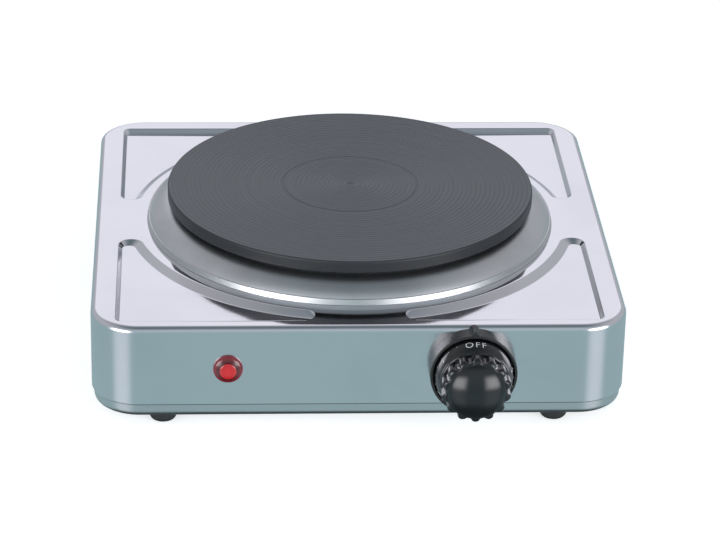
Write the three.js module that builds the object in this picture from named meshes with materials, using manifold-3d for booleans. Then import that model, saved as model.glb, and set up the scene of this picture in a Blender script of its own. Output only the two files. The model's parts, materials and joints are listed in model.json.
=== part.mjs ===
// Single-plate electric hob: a drawn steel housing on a base pan, a cast iron plate in a spill ring,
// the bolted stack that pulls the plate down, the thermostat and its knob, the pilot lamp and the wiring.
// Millimetres, +Z up, the front faces -Y. Heights are measured from the table.
import * as THREE from "three";
import { mergeVertices } from "three/addons/utils/BufferGeometryUtils.js";
import Module from "manifold-3d";

const wasm = await Module();
wasm.setup();

// Housing
const housingWidth = 262;
const housingDepth = 256;
const housingTop = 54.5;
const housingCorner = 24; // plan radius of the upright corners
const housingEdge = 3; // radius along the top edge
const sheet = 0.8; // shell and base pan
const seamHeight = 12.6; // lower edge of the shell
const footHeight = 5.5; // underside of the base pan
const baseLap = 6.5; // the base pan's wall runs this far up inside the shell
const baseEdge = 3.5; // radius along the base pan's lower edge
const slip = 0.4; // clearance between sheet pieces that slide together
const touch = 0.1; // gap between faces that bear on each other
const clear = 0.3; // clearance of a screw or stud in its hole

// Pressed corner panels of the top
const panelSideMargin = 12;
const panelDepth = 2.2;
const panelSlope = 2.3; // plan width of the straight walls
const panelArcSlope = 6.5; // plan width of the wall that follows the spill ring
const panelArcGap = 5.8; // flat sheet between the spill ring and a panel
const panelCorner = 4;
const arcSpare = 1; // the outline runs past the arc by this much, and the cone along the ring trims it
const panels = [
  { side: -1, margin: 7.5, hookGrow: 2.4, tipGrow: 1.8 }, // the front pair
  { side: 1, margin: 11, hookGrow: 1.7, tipGrow: 1.5 }, // the back pair
];

// Cast plate and spill ring
const plateRadius = 94;
const plateRise = 18.9; // cooking face above the housing
const plateRim = 6.5; // height of the plate's edge
const plateWeb = 7.4; // iron above the heating coil
const plateSkirtDrop = 16.4; // cooking face to the skirt's lower edge
const skirtInset = 8.8; // plate edge to skirt
const skirtWall = 5.2;
const plateChamfer = 1.1;
const hubRadius = 12;
const ringOverhang = 10.7; // spill ring beyond the plate's edge
const ringCrown = 10.2; // height of the spill ring above the housing
const ringSheet = 0.7;
const roundSteps = 44; // facets of the large round pieces

// Stack under the plate
const studRadius = 3;
const coilRadius = 1.7;
const coilInner = 26;
const coilMargin = 12; // outermost turn to the skirt's inner face
const coilTurns = 2;
const coverSheet = 0.8;
const bridgeWidth = 24;
const bridgeSheet = 2;
const bridgeFlange = 6;
const flangeInset = 19.2; // end of a flange to the skirt
const shieldSheet = 0.6;
const shieldDrop = 18.5; // underside of the heat shield's floor below the housing's top
const shieldWall = 10;
const plateBlock = { inset: 27.2, width: 18, length: 40, height: 12 }; // inset: skirt to its middle
const tabPitch = 18;

// Knob, collar and thermostat
const knobX = 54.1;
const knobDrop = 22; // knob axis below the housing's top
const collarRadius = 21.2;
const collarDepth = 8.5;
const collarWall = 1.4;
const pointerWidth = 5;
const pointerRise = 2;
const knobGap = 0.7; // radial gap between skirt and collar
const knobBack = 3.6; // the knob's rear edge in front of the housing
const gripRadius = 14.8;
const lobes = 14;
const lobeRise = 2.3;
const gripStart = 14; // these three are distances in front of the housing
const gripEnd = 27;
const domeEnd = 31.5;
const knobWall = 2.2;
const hubWall = 2.4;
const spindleRadius = 3;
const spindleFlat = 1.6; // axis to the flat of the D
const boreGap = 0.2;
const screwPitch = 28;
const thermostat = { width: 26, depth: 18, height: 26, frame: 1.5 };

// Pilot lamp
const lampX = -64.4;
const lampDrop = 21.9;
const lampRadius = 7.3;
const lampDome = 4.1;
const lampRise = 3.9;
const lampStem = 5.3;
const lampBody = 26; // length of the tube behind the panel

// Feet and their screws
const footSideInset = 35; // foot centre to the housing's side
const footInset = 12; // foot centre to the housing's front or back face
const footRadius = 6.8;
const screwRadius = 1.9;
const screwHead = 3.3;
const bracketHeight = 24;
const bracketSheet = 1.2;

// Mains side
const glandX = 60;
const glandDrop = 23;
const glandBore = 3.6;
const glandBody = 6.6;
const glandFlange = 9;
const glandReach = 7; // how far the gland stands out behind the housing
const mainsBlock = { x: 60, inset: 33, width: 30, depth: 18, height: 14, pitch: 8 }; // inset: from the back
const clampInset = 15;
const earthTag = { x: 34, inset: 36 };
const leadRadius = 1.25;
const ventLength = 34;
const ventWidth = 3.2;
const ventPitch = 11;
const ventCount = 5;

// Levels and radii that follow from the sizes above
const front = -housingDepth / 2;
const back = housingDepth / 2;
const plateTop = housingTop + plateRise;
const rimBottom = plateTop - plateRim;
const webBottom = plateTop - plateWeb;
const skirtBottom = plateTop - plateSkirtDrop;
const skirtRadius = plateRadius - skirtInset;
const ringRadius = plateRadius + ringOverhang;
const crownTop = housingTop + ringCrown;
const topHole = skirtRadius + 2.8;
const panelArc = ringRadius + panelArcGap;
const bridgeTop = housingTop - sheet - touch;
const baseInset = sheet + slip;
const baseFloor = footHeight + sheet;
const knobSkirt = collarRadius - collarWall - knobGap;
const innerFace = front + sheet; // inside of the shell's front wall
const knobZ = housingTop - knobDrop;
const lampZ = housingTop - lampDrop;
const glandZ = housingTop - glandDrop;
const shieldHeight = housingTop - shieldDrop;
const coilOuter = skirtRadius - skirtWall - coilMargin;
const blockX = skirtRadius - plateBlock.inset;
const mainsY = back - mainsBlock.inset;
const clampY = back - clampInset;
const hubOuter = spindleRadius + hubWall;

const steel = { color: 0xdedee6, roughness: 0.14, metalness: 1 };
const plated = { color: 0xb9bcbf, roughness: 0.35, metalness: 1 };
const castIron = { color: 0x585b5f, roughness: 0.62, metalness: 0.6 };
const rubber = { color: 0x101112, roughness: 0.8, metalness: 0 };
const blackPlastic = { color: 0x141617, roughness: 0.12, metalness: 0 };
const redLens = { color: 0xb01a22, roughness: 0.08, metalness: 0 };
const ceramic = { color: 0xe6e0d2, roughness: 0.55, metalness: 0 };
const whitePlastic = { color: 0xe8e8e4, roughness: 0.45, metalness: 0 };
const brass = { color: 0xc9a24e, roughness: 0.3, metalness: 1 };
const glass = { color: 0xe9c9a8, roughness: 0.05, metalness: 0 };
const redLead = { color: 0x9c2a22, roughness: 0.55, metalness: 0 };
const blueLead = { color: 0x2a4f9c, roughness: 0.55, metalness: 0 };
const greenLead = { color: 0x6f9a2c, roughness: 0.55, metalness: 0 };

// --- solids -------------------------------------------------------------------------------------

function solidOf(geometry) {
  const plain = geometry.clone();
  plain.deleteAttribute("normal");
  plain.deleteAttribute("uv");
  const merged = mergeVertices(plain, 1e-4);
  const index = merged.index.array;
  const kept = [];
  for (let i = 0; i < index.length; i += 3) {
    const [a, b, c] = [index[i], index[i + 1], index[i + 2]];
    if (a !== b && b !== c && c !== a) kept.push(a, b, c);
  }
  const build = (triVerts) =>
    new wasm.Manifold(
      new wasm.Mesh({ numProp: 3, vertProperties: merged.attributes.position.array, triVerts }),
    );
  const solid = build(new Uint32Array(kept));
  if (solid.volume() >= 0) return solid;
  for (let i = 0; i < kept.length; i += 3) [kept[i + 1], kept[i + 2]] = [kept[i + 2], kept[i + 1]];
  return build(new Uint32Array(kept));
}

function geometryOf(solid) {
  const mesh = solid.getMesh();
  const position = new Float32Array(mesh.numVert * 3);
  for (let i = 0; i < mesh.numVert; i++) {
    position.set(mesh.vertProperties.subarray(i * mesh.numProp, i * mesh.numProp + 3), i * 3);
  }
  const geometry = new THREE.BufferGeometry();
  geometry.setAttribute("position", new THREE.BufferAttribute(position, 3));
  geometry.setIndex(new THREE.BufferAttribute(mesh.triVerts, 1));
  geometry.computeVertexNormals();
  return geometry;
}

const hob = new THREE.Group();

function add(name, solid, finish) {
  const mesh = new THREE.Mesh(geometryOf(solid), new THREE.MeshStandardMaterial(finish));
  mesh.name = name;
  hob.add(mesh);
}

// Cuboid between two corners.
function block(low, high) {
  const size = high.map((value, axis) => value - low[axis]);
  const middle = high.map((value, axis) => (value + low[axis]) / 2);
  return solidOf(new THREE.BoxGeometry(...size).translate(...middle));
}

// Upright cylinder at x, y between two heights.
function post(radius, x, y, low, high, steps = 16) {
  const geometry = new THREE.CylinderGeometry(radius, radius, high - low, steps);
  return solidOf(geometry.rotateX(Math.PI / 2).translate(x, y, (low + high) / 2));
}

// Cylinder along Y at x, z between two depths.
function pin(radius, x, z, low, high, steps = 20) {
  const geometry = new THREE.CylinderGeometry(radius, radius, high - low, steps);
  return solidOf(geometry.translate(x, (low + high) / 2, z));
}

// Solid of revolution about the plate's axis: profile of [radius, height].
function turned(profile) {
  const closed = [...profile, profile[0]];
  const points = closed.map(([radius, height]) => new THREE.Vector2(radius, height));
  return solidOf(new THREE.LatheGeometry(points, roundSteps).rotateX(Math.PI / 2));
}

// The same about a front-to-back axis at x, z: profile of [radius, distance in front of the face].
function turnedForward(profile, x, z, steps = 32, face = front) {
  const closed = [...profile, profile[0]];
  const points = closed.map(([radius, reach]) => new THREE.Vector2(radius, -reach));
  return solidOf(new THREE.LatheGeometry(points, steps).translate(x, face, z));
}

function arc(cx, cy, radius, from, to, steps) {
  const points = [];
  for (let i = 0; i <= steps; i++) {
    const angle = from + ((to - from) * i) / steps;
    points.push(new THREE.Vector2(cx + radius * Math.cos(angle), cy + radius * Math.sin(angle)));
  }
  return points;
}

function roundedOutline(width, depth, corner, steps = 6) {
  const x = width / 2 - corner;
  const y = depth / 2 - corner;
  const quarter = Math.PI / 2;
  const centres = [
    [x, y],
    [-x, y],
    [-x, -y],
    [x, -y],
  ];
  const points = centres.flatMap(([cx, cy], k) =>
    arc(cx, cy, corner, k * quarter, (k + 1) * quarter, steps),
  );
  return new THREE.Shape(points);
}

// Cuboid with rounded upright corners, and its upper and lower edges rounded too.
function softBlock(width, depth, corner, edge, low, high) {
  const geometry = new THREE.ExtrudeGeometry(roundedOutline(width, depth, corner), {
    depth: high - low - 2 * edge,
    bevelEnabled: true,
    bevelThickness: edge,
    bevelSize: edge,
    bevelOffset: -edge,
    bevelSegments: 3,
  });
  return solidOf(geometry.translate(0, 0, low + edge));
}

function prism(points, low, high) {
  const shape = new THREE.Shape(points);
  const geometry = new THREE.ExtrudeGeometry(shape, { depth: high - low, bevelEnabled: false });
  return solidOf(geometry.translate(0, 0, low));
}

// Round tube along a smooth curve through the points.
function tube(points, radius, steps, sides = 8) {
  const path = new THREE.CatmullRomCurve3(points.map((p) => new THREE.Vector3(...p)));
  const section = new THREE.Shape(arc(0, 0, radius, 0, 2 * Math.PI, sides).slice(0, -1));
  return solidOf(new THREE.ExtrudeGeometry(section, { steps, extrudePath: path, bevelEnabled: false }));
}

const everything = 400; // larger than the hob, for half-space cuts
const above = (height) =>
  block([-everything, -everything, height], [everything, everything, height + everything]);
const below = (height) =>
  block([-everything, -everything, height - everything], [everything, everything, height]);

// --- housing ------------------------------------------------------------------------------------

// Lip of one pressed panel: two straight sides, a small corner, and round ends tangent to the arc.
function panelOutline({ side, margin, hookGrow, tipGrow }, hand) {
  const sideX = housingWidth / 2 - panelSideMargin;
  const lineY = housingDepth / 2 - margin;
  const smallest = panelSlope + touch; // the wall's own width limits the round ends
  const hook = Math.max(smallest, (sideX - panelArc) / 2 + hookGrow);
  const tip = Math.max(smallest, (lineY - panelArc) / 2 + tipGrow);
  const hookX = sideX - hook;
  const hookY = Math.sqrt((panelArc + hook) ** 2 - hookX ** 2);
  const tipY = lineY - tip;
  const tipX = Math.sqrt((panelArc + tip) ** 2 - tipY ** 2);
  const hookAngle = Math.atan2(hookY, hookX);
  const tipAngle = Math.atan2(tipY, tipX);
  const points = [
    ...arc(hookX, hookY, hook, Math.PI + hookAngle, 2 * Math.PI, 5),
    ...arc(sideX - panelCorner, lineY - panelCorner, panelCorner, 0, Math.PI / 2, 3),
    ...arc(tipX, tipY, tip, Math.PI / 2, Math.PI + tipAngle, 5),
    ...arc(0, 0, panelArc - arcSpare, tipAngle, hookAngle, 9).slice(1, -1),
  ];
  return points.map((point) => new THREE.Vector2(point.x * hand, point.y * side));
}

// The pressing as a solid: sloped walls down from a lip at the given level. grow widens it all round.
function pressing(outline, lip, grow) {
  const geometry = new THREE.ExtrudeGeometry(new THREE.Shape(outline), {
    depth: 2,
    bevelEnabled: true,
    bevelThickness: panelDepth,
    bevelSize: panelSlope,
    bevelOffset: grow - panelSlope,
    bevelSegments: 1,
  });
  const walls = solidOf(geometry.translate(0, 0, lip));
  const start = panelArc - grow;
  const outside = turned([
    [start, lip + 10],
    [start, lip],
    [start + panelArcSlope, lip - panelDepth],
    [start + panelArcSlope, lip - panelDepth - 5],
    [everything, lip - panelDepth - 5],
    [everything, lip + 10],
  ]);
  return walls.intersect(outside);
}

function makeTopShell() {
  const outer = softBlock(
    housingWidth,
    housingDepth,
    housingCorner,
    housingEdge,
    seamHeight - 10,
    housingTop,
  );
  const inner = softBlock(
    housingWidth - 2 * sheet,
    housingDepth - 2 * sheet,
    housingCorner - sheet,
    housingEdge - sheet,
    seamHeight - 20,
    housingTop - sheet,
  );
  let shell = outer.subtract(inner).subtract(below(seamHeight));
  for (const panel of panels) {
    for (const hand of [-1, 1]) {
      const outline = panelOutline(panel, hand);
      const backing = pressing(outline, housingTop - sheet, sheet / 2);
      shell = shell.add(backing.subtract(above(housingTop - sheet / 2)));
      shell = shell.subtract(pressing(outline, housingTop, 0));
    }
  }
  const cut = 2 * sheet;
  return shell
    .subtract(post(topHole, 0, 0, housingTop - cut, housingTop + cut, roundSteps))
    .subtract(pin(lampStem + clear, lampX, lampZ, front - cut, front + cut))
    .subtract(pin(spindleRadius + 1, knobX, knobZ, front - cut, front + cut))
    .subtract(pin(screwRadius + clear, knobX - screwPitch / 2, knobZ, front - cut, front + cut))
    .subtract(pin(screwRadius + clear, knobX + screwPitch / 2, knobZ, front - cut, front + cut))
    .subtract(pin(glandBody + clear, glandX, glandZ, back - cut, back + cut));
}

function makeBasePan() {
  const width = housingWidth - 2 * baseInset;
  const depth = housingDepth - 2 * baseInset;
  const corner = housingCorner - baseInset;
  const top = seamHeight + baseLap;
  const outer = softBlock(width, depth, corner, baseEdge, footHeight, top + 10);
  const inner = softBlock(
    width - 2 * sheet,
    depth - 2 * sheet,
    corner - sheet,
    baseEdge - sheet,
    baseFloor,
    top + 20,
  );
  let pan = outer.subtract(inner).subtract(above(top));
  for (const [x, y] of footPlaces) {
    pan = pan.subtract(post(screwRadius + clear, x, y, footHeight - 1, baseFloor + 1, 12));
  }
  for (const [x, y] of floorScrews) {
    pan = pan.subtract(post(floorScrewRadius + clear, x, y, footHeight - 1, baseFloor + 1, 12));
  }
  for (const side of [-1, 1]) {
    for (let i = 0; i < ventCount; i++) {
      const x = (i - (ventCount - 1) / 2) * ventPitch;
      const y = side * (ventLength / 2 + 12);
      const slot = roundedOutline(ventWidth, ventLength, ventWidth / 2 - 0.01, 2);
      const points = slot.getPoints().map((p) => new THREE.Vector2(p.x + x, p.y + y));
      pan = pan.subtract(prism(points, footHeight - 1, baseFloor + 1));
    }
  }
  return pan;
}

const footX = housingWidth / 2 - footSideInset;
const footY = housingDepth / 2 - footInset;
const footPlaces = [
  [-footX, -footY],
  [footX, -footY],
  [-footX, footY],
  [footX, footY],
];
const footNames = ["front_left", "front_right", "back_left", "back_right"];
const floorScrewRadius = 1.5;
const clampHalf = 9;
const earthPlace = [earthTag.x, back - earthTag.inset];
const blockScrew = [mainsBlock.x, mainsY + 5];
const floorScrews = [
  [glandX - clampHalf, clampY],
  [glandX + clampHalf, clampY],
  earthPlace,
  blockScrew,
];

// Short screw that holds something to the base pan's floor.
function floorScrew([x, y], seat) {
  const head = post(2.8, x, y, seat + touch, seat + touch + 1.8, 12);
  const slot = block([x - 3, y - 0.4, seat + touch + 1.1], [x + 3, y + 0.4, seat + 4]);
  return head.add(post(floorScrewRadius, x, y, footHeight - 1.5, seat + 1, 8)).subtract(slot);
}

function makeFoot(x, y) {
  const pocket = screwHead + 0.5;
  const geometry = new THREE.LatheGeometry(
    [
      [screwRadius + clear, footHeight - touch],
      [screwRadius + clear, 3],
      [pocket, 3],
      [pocket, 0],
      [footRadius - 1.3, 0],
      [footRadius - 0.4, 0.5],
      [footRadius, 1.6],
      [footRadius, footHeight - touch],
      [screwRadius + clear, footHeight - touch],
    ].map(([r, z]) => new THREE.Vector2(r, z)),
    18,
  );
  return solidOf(geometry.rotateX(Math.PI / 2).translate(x, y, 0));
}

function makeFootScrew(x, y) {
  const head = post(screwHead, x, y, 1, 3 - touch, 14);
  const cross = block([x - 2, y - 0.4, 0.5], [x + 2, y + 0.4, 1.9]);
  const shank = post(screwRadius, x, y, 2, bracketHeight + bracketSheet + 2.5, 10);
  return head.add(shank).subtract(cross);
}

// Angle inside the shell: one leg lies on the front or back wall, the arm takes the foot's screw.
function makeShellBracket(x, y) {
  const side = Math.sign(y);
  const wall = side * (back - sheet - touch);
  const half = 9;
  const end = y - side * 8;
  const span = (a, b) => [Math.min(a, b), Math.max(a, b)];
  const [armLow, armHigh] = span(end, wall);
  const [legLow, legHigh] = span(wall - side * bracketSheet, wall);
  const arm = block([x - half, armLow, bracketHeight], [x + half, armHigh, bracketHeight + bracketSheet]);
  const leg = block([x - half, legLow, bracketHeight], [x + half, legHigh, bracketHeight + 14]);
  return arm.add(leg).subtract(post(screwRadius + clear, x, y, bracketHeight - 1, bracketHeight + 3, 12));
}

add("top_shell", makeTopShell(), steel);
add("base_pan", makeBasePan(), steel);
footPlaces.forEach(([x, y], i) => {
  add("foot_" + footNames[i], makeFoot(x, y), rubber);
  add("foot_screw_" + footNames[i], makeFootScrew(x, y), plated);
  add("shell_bracket_" + footNames[i], makeShellBracket(x, y), plated);
});

// --- plate stack --------------------------------------------------------------------------------

function makeSpillRing() {
  const inner = skirtRadius + slip;
  const shoulder = inner + 2.4;
  const crown = crownTop - housingTop;
  const at = (share, rise) => [ringRadius - share * (ringRadius - shoulder), housingTop + rise * crown];
  const upper = [
    [ringRadius, housingTop + touch],
    at(0.05, 0.26),
    at(0.19, 0.57),
    at(0.38, 0.79),
    at(0.64, 0.94),
    [shoulder, crownTop],
    [inner, crownTop],
    [inner, housingTop - touch],
  ];
  const lower = [
    [inner + ringSheet, housingTop - touch],
    [inner + ringSheet, crownTop - ringSheet],
    [shoulder, crownTop - ringSheet],
    at(0.64, 0.87),
    at(0.4, 0.72),
    at(0.24, 0.51),
    at(0.12, 0.22),
    [ringRadius - 1.2, housingTop + touch],
  ];
  return turned([...upper, ...lower]);
}

function makeHotPlate() {
  const shoulderRadius = skirtRadius + slip + 2.4;
  const profile = [
    [0, plateTop],
    [plateRadius - plateChamfer, plateTop],
    [plateRadius, plateTop - plateChamfer],
    [plateRadius, rimBottom + 1],
    [plateRadius - 1, rimBottom],
    [shoulderRadius, rimBottom],
    [shoulderRadius, crownTop + touch],
    [skirtRadius, crownTop + touch],
    [skirtRadius, skirtBottom],
    [skirtRadius - skirtWall, skirtBottom],
    [skirtRadius - skirtWall, webBottom],
    [hubRadius, webBottom],
    [hubRadius, skirtBottom],
    [studRadius + clear, skirtBottom],
    [studRadius + clear, plateTop - 4.5],
    [0, plateTop - 4.5],
  ];
  return turned(profile);
}

// Flat spiral with a tail down from each end through the cover.
function makeHeatingCoil() {
  const level = webBottom - coilRadius - clear;
  const turnSteps = 10;
  const total = coilTurns * turnSteps;
  const points = [];
  for (let i = 0; i <= total; i++) {
    const angle = (2 * Math.PI * i) / turnSteps;
    const radius = coilInner + ((coilOuter - coilInner) * i) / total;
    points.push([radius * Math.cos(angle), radius * Math.sin(angle), level]);
  }
  const tail = (x) => post(coilRadius, x, 0, skirtBottom - 3, level + coilRadius / 2, 8);
  return tube(points, coilRadius, 44, 6).add(tail(coilInner)).add(tail(coilOuter));
}

const fillTop = webBottom - 2 * coilRadius - 2 * clear;
const coverTop = skirtBottom - touch;
const coverBottom = coverTop - coverSheet;

function drillTails(solid, low, high) {
  const hole = (x) => post(coilRadius + 1.6, x, 0, low, high, 12);
  return solid.subtract(hole(coilInner)).subtract(hole(coilOuter));
}

function makeElementFill() {
  const disc = turned([
    [hubRadius + 1, skirtBottom],
    [skirtRadius - skirtWall - 0.5, skirtBottom],
    [skirtRadius - skirtWall - 0.5, fillTop],
    [hubRadius + 1, fillTop],
  ]);
  return drillTails(disc, skirtBottom - 1, fillTop + 1);
}

function makeElementCover() {
  const disc = turned([
    [studRadius + clear, coverBottom],
    [skirtRadius - 1.5, coverBottom],
    [skirtRadius - 1.5, coverTop],
    [studRadius + clear, coverTop],
  ]);
  return drillTails(disc, coverBottom - 1, coverTop + 1);
}

// Channel-shaped strap across the hole: its ends bear on the sheet from below.
function makeMountingBridge() {
  const reach = topHole + 12;
  const half = bridgeWidth / 2;
  const flangeReach = skirtRadius - flangeInset;
  const web = block([-half, -reach, bridgeTop - bridgeSheet], [half, reach, bridgeTop]);
  const flange = (low) =>
    block(
      [low, -flangeReach, bridgeTop - bridgeSheet - bridgeFlange],
      [low + bridgeSheet, flangeReach, bridgeTop - 0.5],
    );
  return web
    .add(flange(-half))
    .add(flange(half - bridgeSheet))
    .subtract(post(studRadius + clear, 0, 0, bridgeTop - 5, bridgeTop + 5));
}

function hexNut(acrossFlats, low, high) {
  const nut = post(acrossFlats / Math.sqrt(3), 0, 0, low, high, 6);
  return nut.subtract(post(studRadius + clear / 2, 0, 0, low - 1, high + 1, 12));
}

function makeHeatShield() {
  const floor = skirtRadius - 16;
  const rim = skirtRadius - 5;
  return turned([
    [studRadius + clear, shieldHeight],
    [floor, shieldHeight],
    [rim, shieldHeight + shieldWall],
    [rim - shieldSheet, shieldHeight + shieldWall],
    [floor - shieldSheet, shieldHeight + shieldSheet],
    [studRadius + clear, shieldHeight + shieldSheet],
  ]);
}

const blockTop = coverBottom - touch;
const blockBottom = blockTop - plateBlock.height;
const tabLevel = blockTop - 7;

function makePlateTerminalBlock() {
  const { width, length } = plateBlock;
  const [low, high] = [blockX - width / 2, blockX + width / 2];
  const body = block([low, -length / 2, blockBottom], [high, length / 2, blockTop]);
  const pocket = (y) => block([blockX - 4, y - 5, blockBottom - 1], [high + 9, y + 5, blockBottom + 4]);
  const coilPocket = block([high - 4, -4, blockTop - 4], [high + 9, 4, blockTop + 1]);
  return body.subtract(pocket(-tabPitch / 2)).subtract(pocket(tabPitch / 2)).subtract(coilPocket);
}

function makePlateTab(y) {
  const x = blockX + plateBlock.width / 2;
  const blade = block([x + touch, y - 3, tabLevel], [x + 6, y + 3, tabLevel + 0.8]);
  return blade.subtract(post(0.8, x + 4, y, tabLevel - 1, tabLevel + 2, 8));
}

const nutTop = bridgeTop - bridgeSheet - touch;
add("spill_ring", makeSpillRing(), steel);
add("hot_plate", makeHotPlate(), castIron);
add("heating_coil", makeHeatingCoil(), plated);
add("element_fill", makeElementFill(), ceramic);
add("element_cover", makeElementCover(), plated);
add("centre_stud", post(studRadius, 0, 0, shieldHeight - 9, plateTop - 5), plated);
add("mounting_bridge", makeMountingBridge(), plated);
add("bridge_nut", hexNut(10, nutTop - 5, nutTop), plated);
add("heat_shield", makeHeatShield(), plated);
add("shield_nut", hexNut(10, shieldHeight - touch - 5, shieldHeight - touch), plated);
add("plate_terminal_block", makePlateTerminalBlock(), ceramic);
add("plate_tab_neutral", makePlateTab(tabPitch / 2), brass);
add("plate_tab_live", makePlateTab(-tabPitch / 2), brass);

// --- thermostat and knob ------------------------------------------------------------------------

const frameFront = innerFace + touch;
const frameBack = frameFront + thermostat.frame;
const bodyFront = frameBack + touch;
const bodyBack = bodyFront + thermostat.depth;
const spindleEnd = bodyFront + 8;
const tabX = thermostat.width / 2 - 5;
const thermostatTabLevel = knobZ - 6;

function makeKnobCollar() {
  const hole = spindleRadius + 3;
  const cup = turnedForward(
    [
      [hole, touch],
      [collarRadius, touch],
      [collarRadius, collarDepth - 0.8],
      [collarRadius - 0.5, collarDepth],
      [collarRadius - collarWall, collarDepth],
      [collarRadius - collarWall, 1.5],
      [hole, 1.5],
    ],
    knobX,
    knobZ,
    36,
  );
  const ridge = pin(
    pointerWidth / 2,
    knobX,
    knobZ + collarRadius + pointerRise - pointerWidth / 2,
    front - collarDepth,
    front - touch,
  );
  const inside = pin(collarRadius - 0.6, knobX, knobZ, front - 20, front + 1, 36);
  const screw = (side) =>
    pin(screwRadius + clear, knobX + (side * screwPitch) / 2, knobZ, front - 2, front + 1, 16);
  return cup.add(ridge.subtract(inside)).subtract(screw(-1)).subtract(screw(1));
}

// D-shaped rod along the knob's axis.
function dRod(grow, low, high) {
  const rod = pin(spindleRadius + grow, knobX, knobZ, low, high);
  const flat = knobZ + spindleFlat + grow;
  const cut = block([knobX - 9, low - 1, flat], [knobX + 9, high + 1, flat + 9]);
  return rod.subtract(cut);
}

function makeKnob() {
  const outerGrip = gripRadius + lobeRise;
  const skirt = turnedForward(
    [
      [0, knobBack],
      [knobSkirt, knobBack],
      [knobSkirt, collarDepth],
      [knobSkirt - 0.8, collarDepth + 3.5],
      [outerGrip, gripStart + 1],
      [gripRadius + 0.4, gripStart + 2.6],
      [0, gripStart + 2.6],
    ],
    knobX,
    knobZ,
    36,
  );
  let fluted = pin(gripRadius, knobX, knobZ, front - domeEnd - 1, front - gripStart, 28);
  const lobeRadius = lobeRise * 0.92;
  for (let i = 0; i < lobes; i++) {
    const angle = (2 * Math.PI * i) / lobes;
    const centre = outerGrip - lobeRadius;
    const x = knobX + centre * Math.sin(angle);
    const z = knobZ + centre * Math.cos(angle);
    fluted = fluted.add(pin(lobeRadius, x, z, front - domeEnd - 1, front - gripStart, 10));
  }
  const dome = turnedForward(
    [
      [0, 0],
      [outerGrip + 0.5, 0],
      [outerGrip + 0.5, gripEnd - 0.8],
      [gripRadius + 0.9, gripEnd],
      [gripRadius - 1.8, gripEnd + 1.4],
      [gripRadius * 0.62, gripEnd + 3.1],
      [gripRadius * 0.32, gripEnd + 4.1],
      [0, domeEnd],
    ],
    knobX,
    knobZ,
    28,
  );
  const wellRadius = gripRadius - knobWall;
  const well = turnedForward(
    [
      [hubOuter, 2],
      [knobSkirt - knobWall, 2],
      [knobSkirt - knobWall, collarDepth],
      [wellRadius + 1.2, gripStart],
      [wellRadius, gripStart + 1.5],
      [wellRadius, gripEnd - 2],
      [hubOuter, gripEnd - 1],
    ],
    knobX,
    knobZ,
    28,
  );
  const bore = dRod(boreGap, front - 21, front);
  return skirt.add(fluted.intersect(dome)).subtract(well).subtract(bore);
}

function makeKnobClip() {
  const ring = turnedForward(
    [
      [hubOuter + touch, 5],
      [hubOuter + 0.7, 5],
      [hubOuter + 0.7, 10],
      [hubOuter + touch, 10],
    ],
    knobX,
    knobZ,
    24,
  );
  return ring.subtract(block([knobX - 1, front - 12, knobZ - 9], [knobX + 1, front, knobZ]));
}

function makeThermostatFrame() {
  const half = screwPitch / 2 + 5;
  const plate = block([knobX - half, frameFront, knobZ - 10], [knobX + half, frameBack, knobZ + 10]);
  const hole = (x, radius) => pin(radius, x, knobZ, frameFront - 1, frameBack + 1, 20);
  return plate
    .subtract(hole(knobX, spindleRadius + 0.6))
    .subtract(hole(knobX - screwPitch / 2, screwRadius + clear))
    .subtract(hole(knobX + screwPitch / 2, screwRadius + clear));
}

function makeThermostatBody() {
  const { width, height } = thermostat;
  const body = block(
    [knobX - width / 2, bodyFront, knobZ - height / 2],
    [knobX + width / 2, bodyBack, knobZ + height / 2 - 2],
  );
  let cut = body.subtract(pin(spindleRadius + 0.4, knobX, knobZ, bodyFront - 1, spindleEnd + 0.5, 20));
  for (const side of [-1, 1]) {
    const x = knobX + (side * screwPitch) / 2;
    cut = cut.subtract(pin(screwRadius + 1.2, x, knobZ, bodyFront - 1, bodyFront + 3, 16));
  }
  return cut;
}

// Bimetal strip along the top of the body, on two spacers.
function makeThermostatBlade() {
  const low = knobZ + thermostat.height / 2 - 2 + touch;
  const strip = block([knobX - 4, bodyFront + 1, low + 1.6], [knobX + 4, bodyBack + 5, low + 2.4]);
  const spacer = (y) => post(2.2, knobX, y, low, low + 2, 16);
  return strip.add(spacer(bodyFront + 4)).add(spacer(bodyBack - 4));
}

function makeThermostatTab(side) {
  const x = knobX + side * tabX;
  const low = thermostatTabLevel;
  const blade = block([x - 3, bodyBack + touch, low], [x + 3, bodyBack + 7, low + 0.8]);
  return blade.subtract(post(0.8, x, bodyBack + 4.5, low - 1, low + 2, 8));
}

function makeThermostatScrew(side) {
  const x = knobX + (side * screwPitch) / 2;
  const seat = front - 1.5 - touch;
  const head = pin(2.8, x, knobZ, seat - 1.7, seat, 16);
  const slot = block([x - 4, seat - 3, knobZ - 0.4], [x + 4, seat - 1, knobZ + 0.4]);
  return head.add(pin(screwRadius, x, knobZ, seat - 1, bodyFront + 1.5, 16)).subtract(slot);
}

add("knob_collar", makeKnobCollar(), blackPlastic);
add("knob", makeKnob(), blackPlastic);
add("knob_clip", makeKnobClip(), plated);
add("thermostat_spindle", dRod(0, front - 20, spindleEnd), plated);
add("thermostat_frame", makeThermostatFrame(), plated);
add("thermostat_body", makeThermostatBody(), ceramic);
add("thermostat_blade", makeThermostatBlade(), brass);
add("thermostat_tab_in", makeThermostatTab(1), brass);
add("thermostat_tab_out", makeThermostatTab(-1), brass);
add("thermostat_screw_left", makeThermostatScrew(-1), plated);
add("thermostat_screw_right", makeThermostatScrew(1), plated);

// --- pilot lamp ---------------------------------------------------------------------------------

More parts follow.
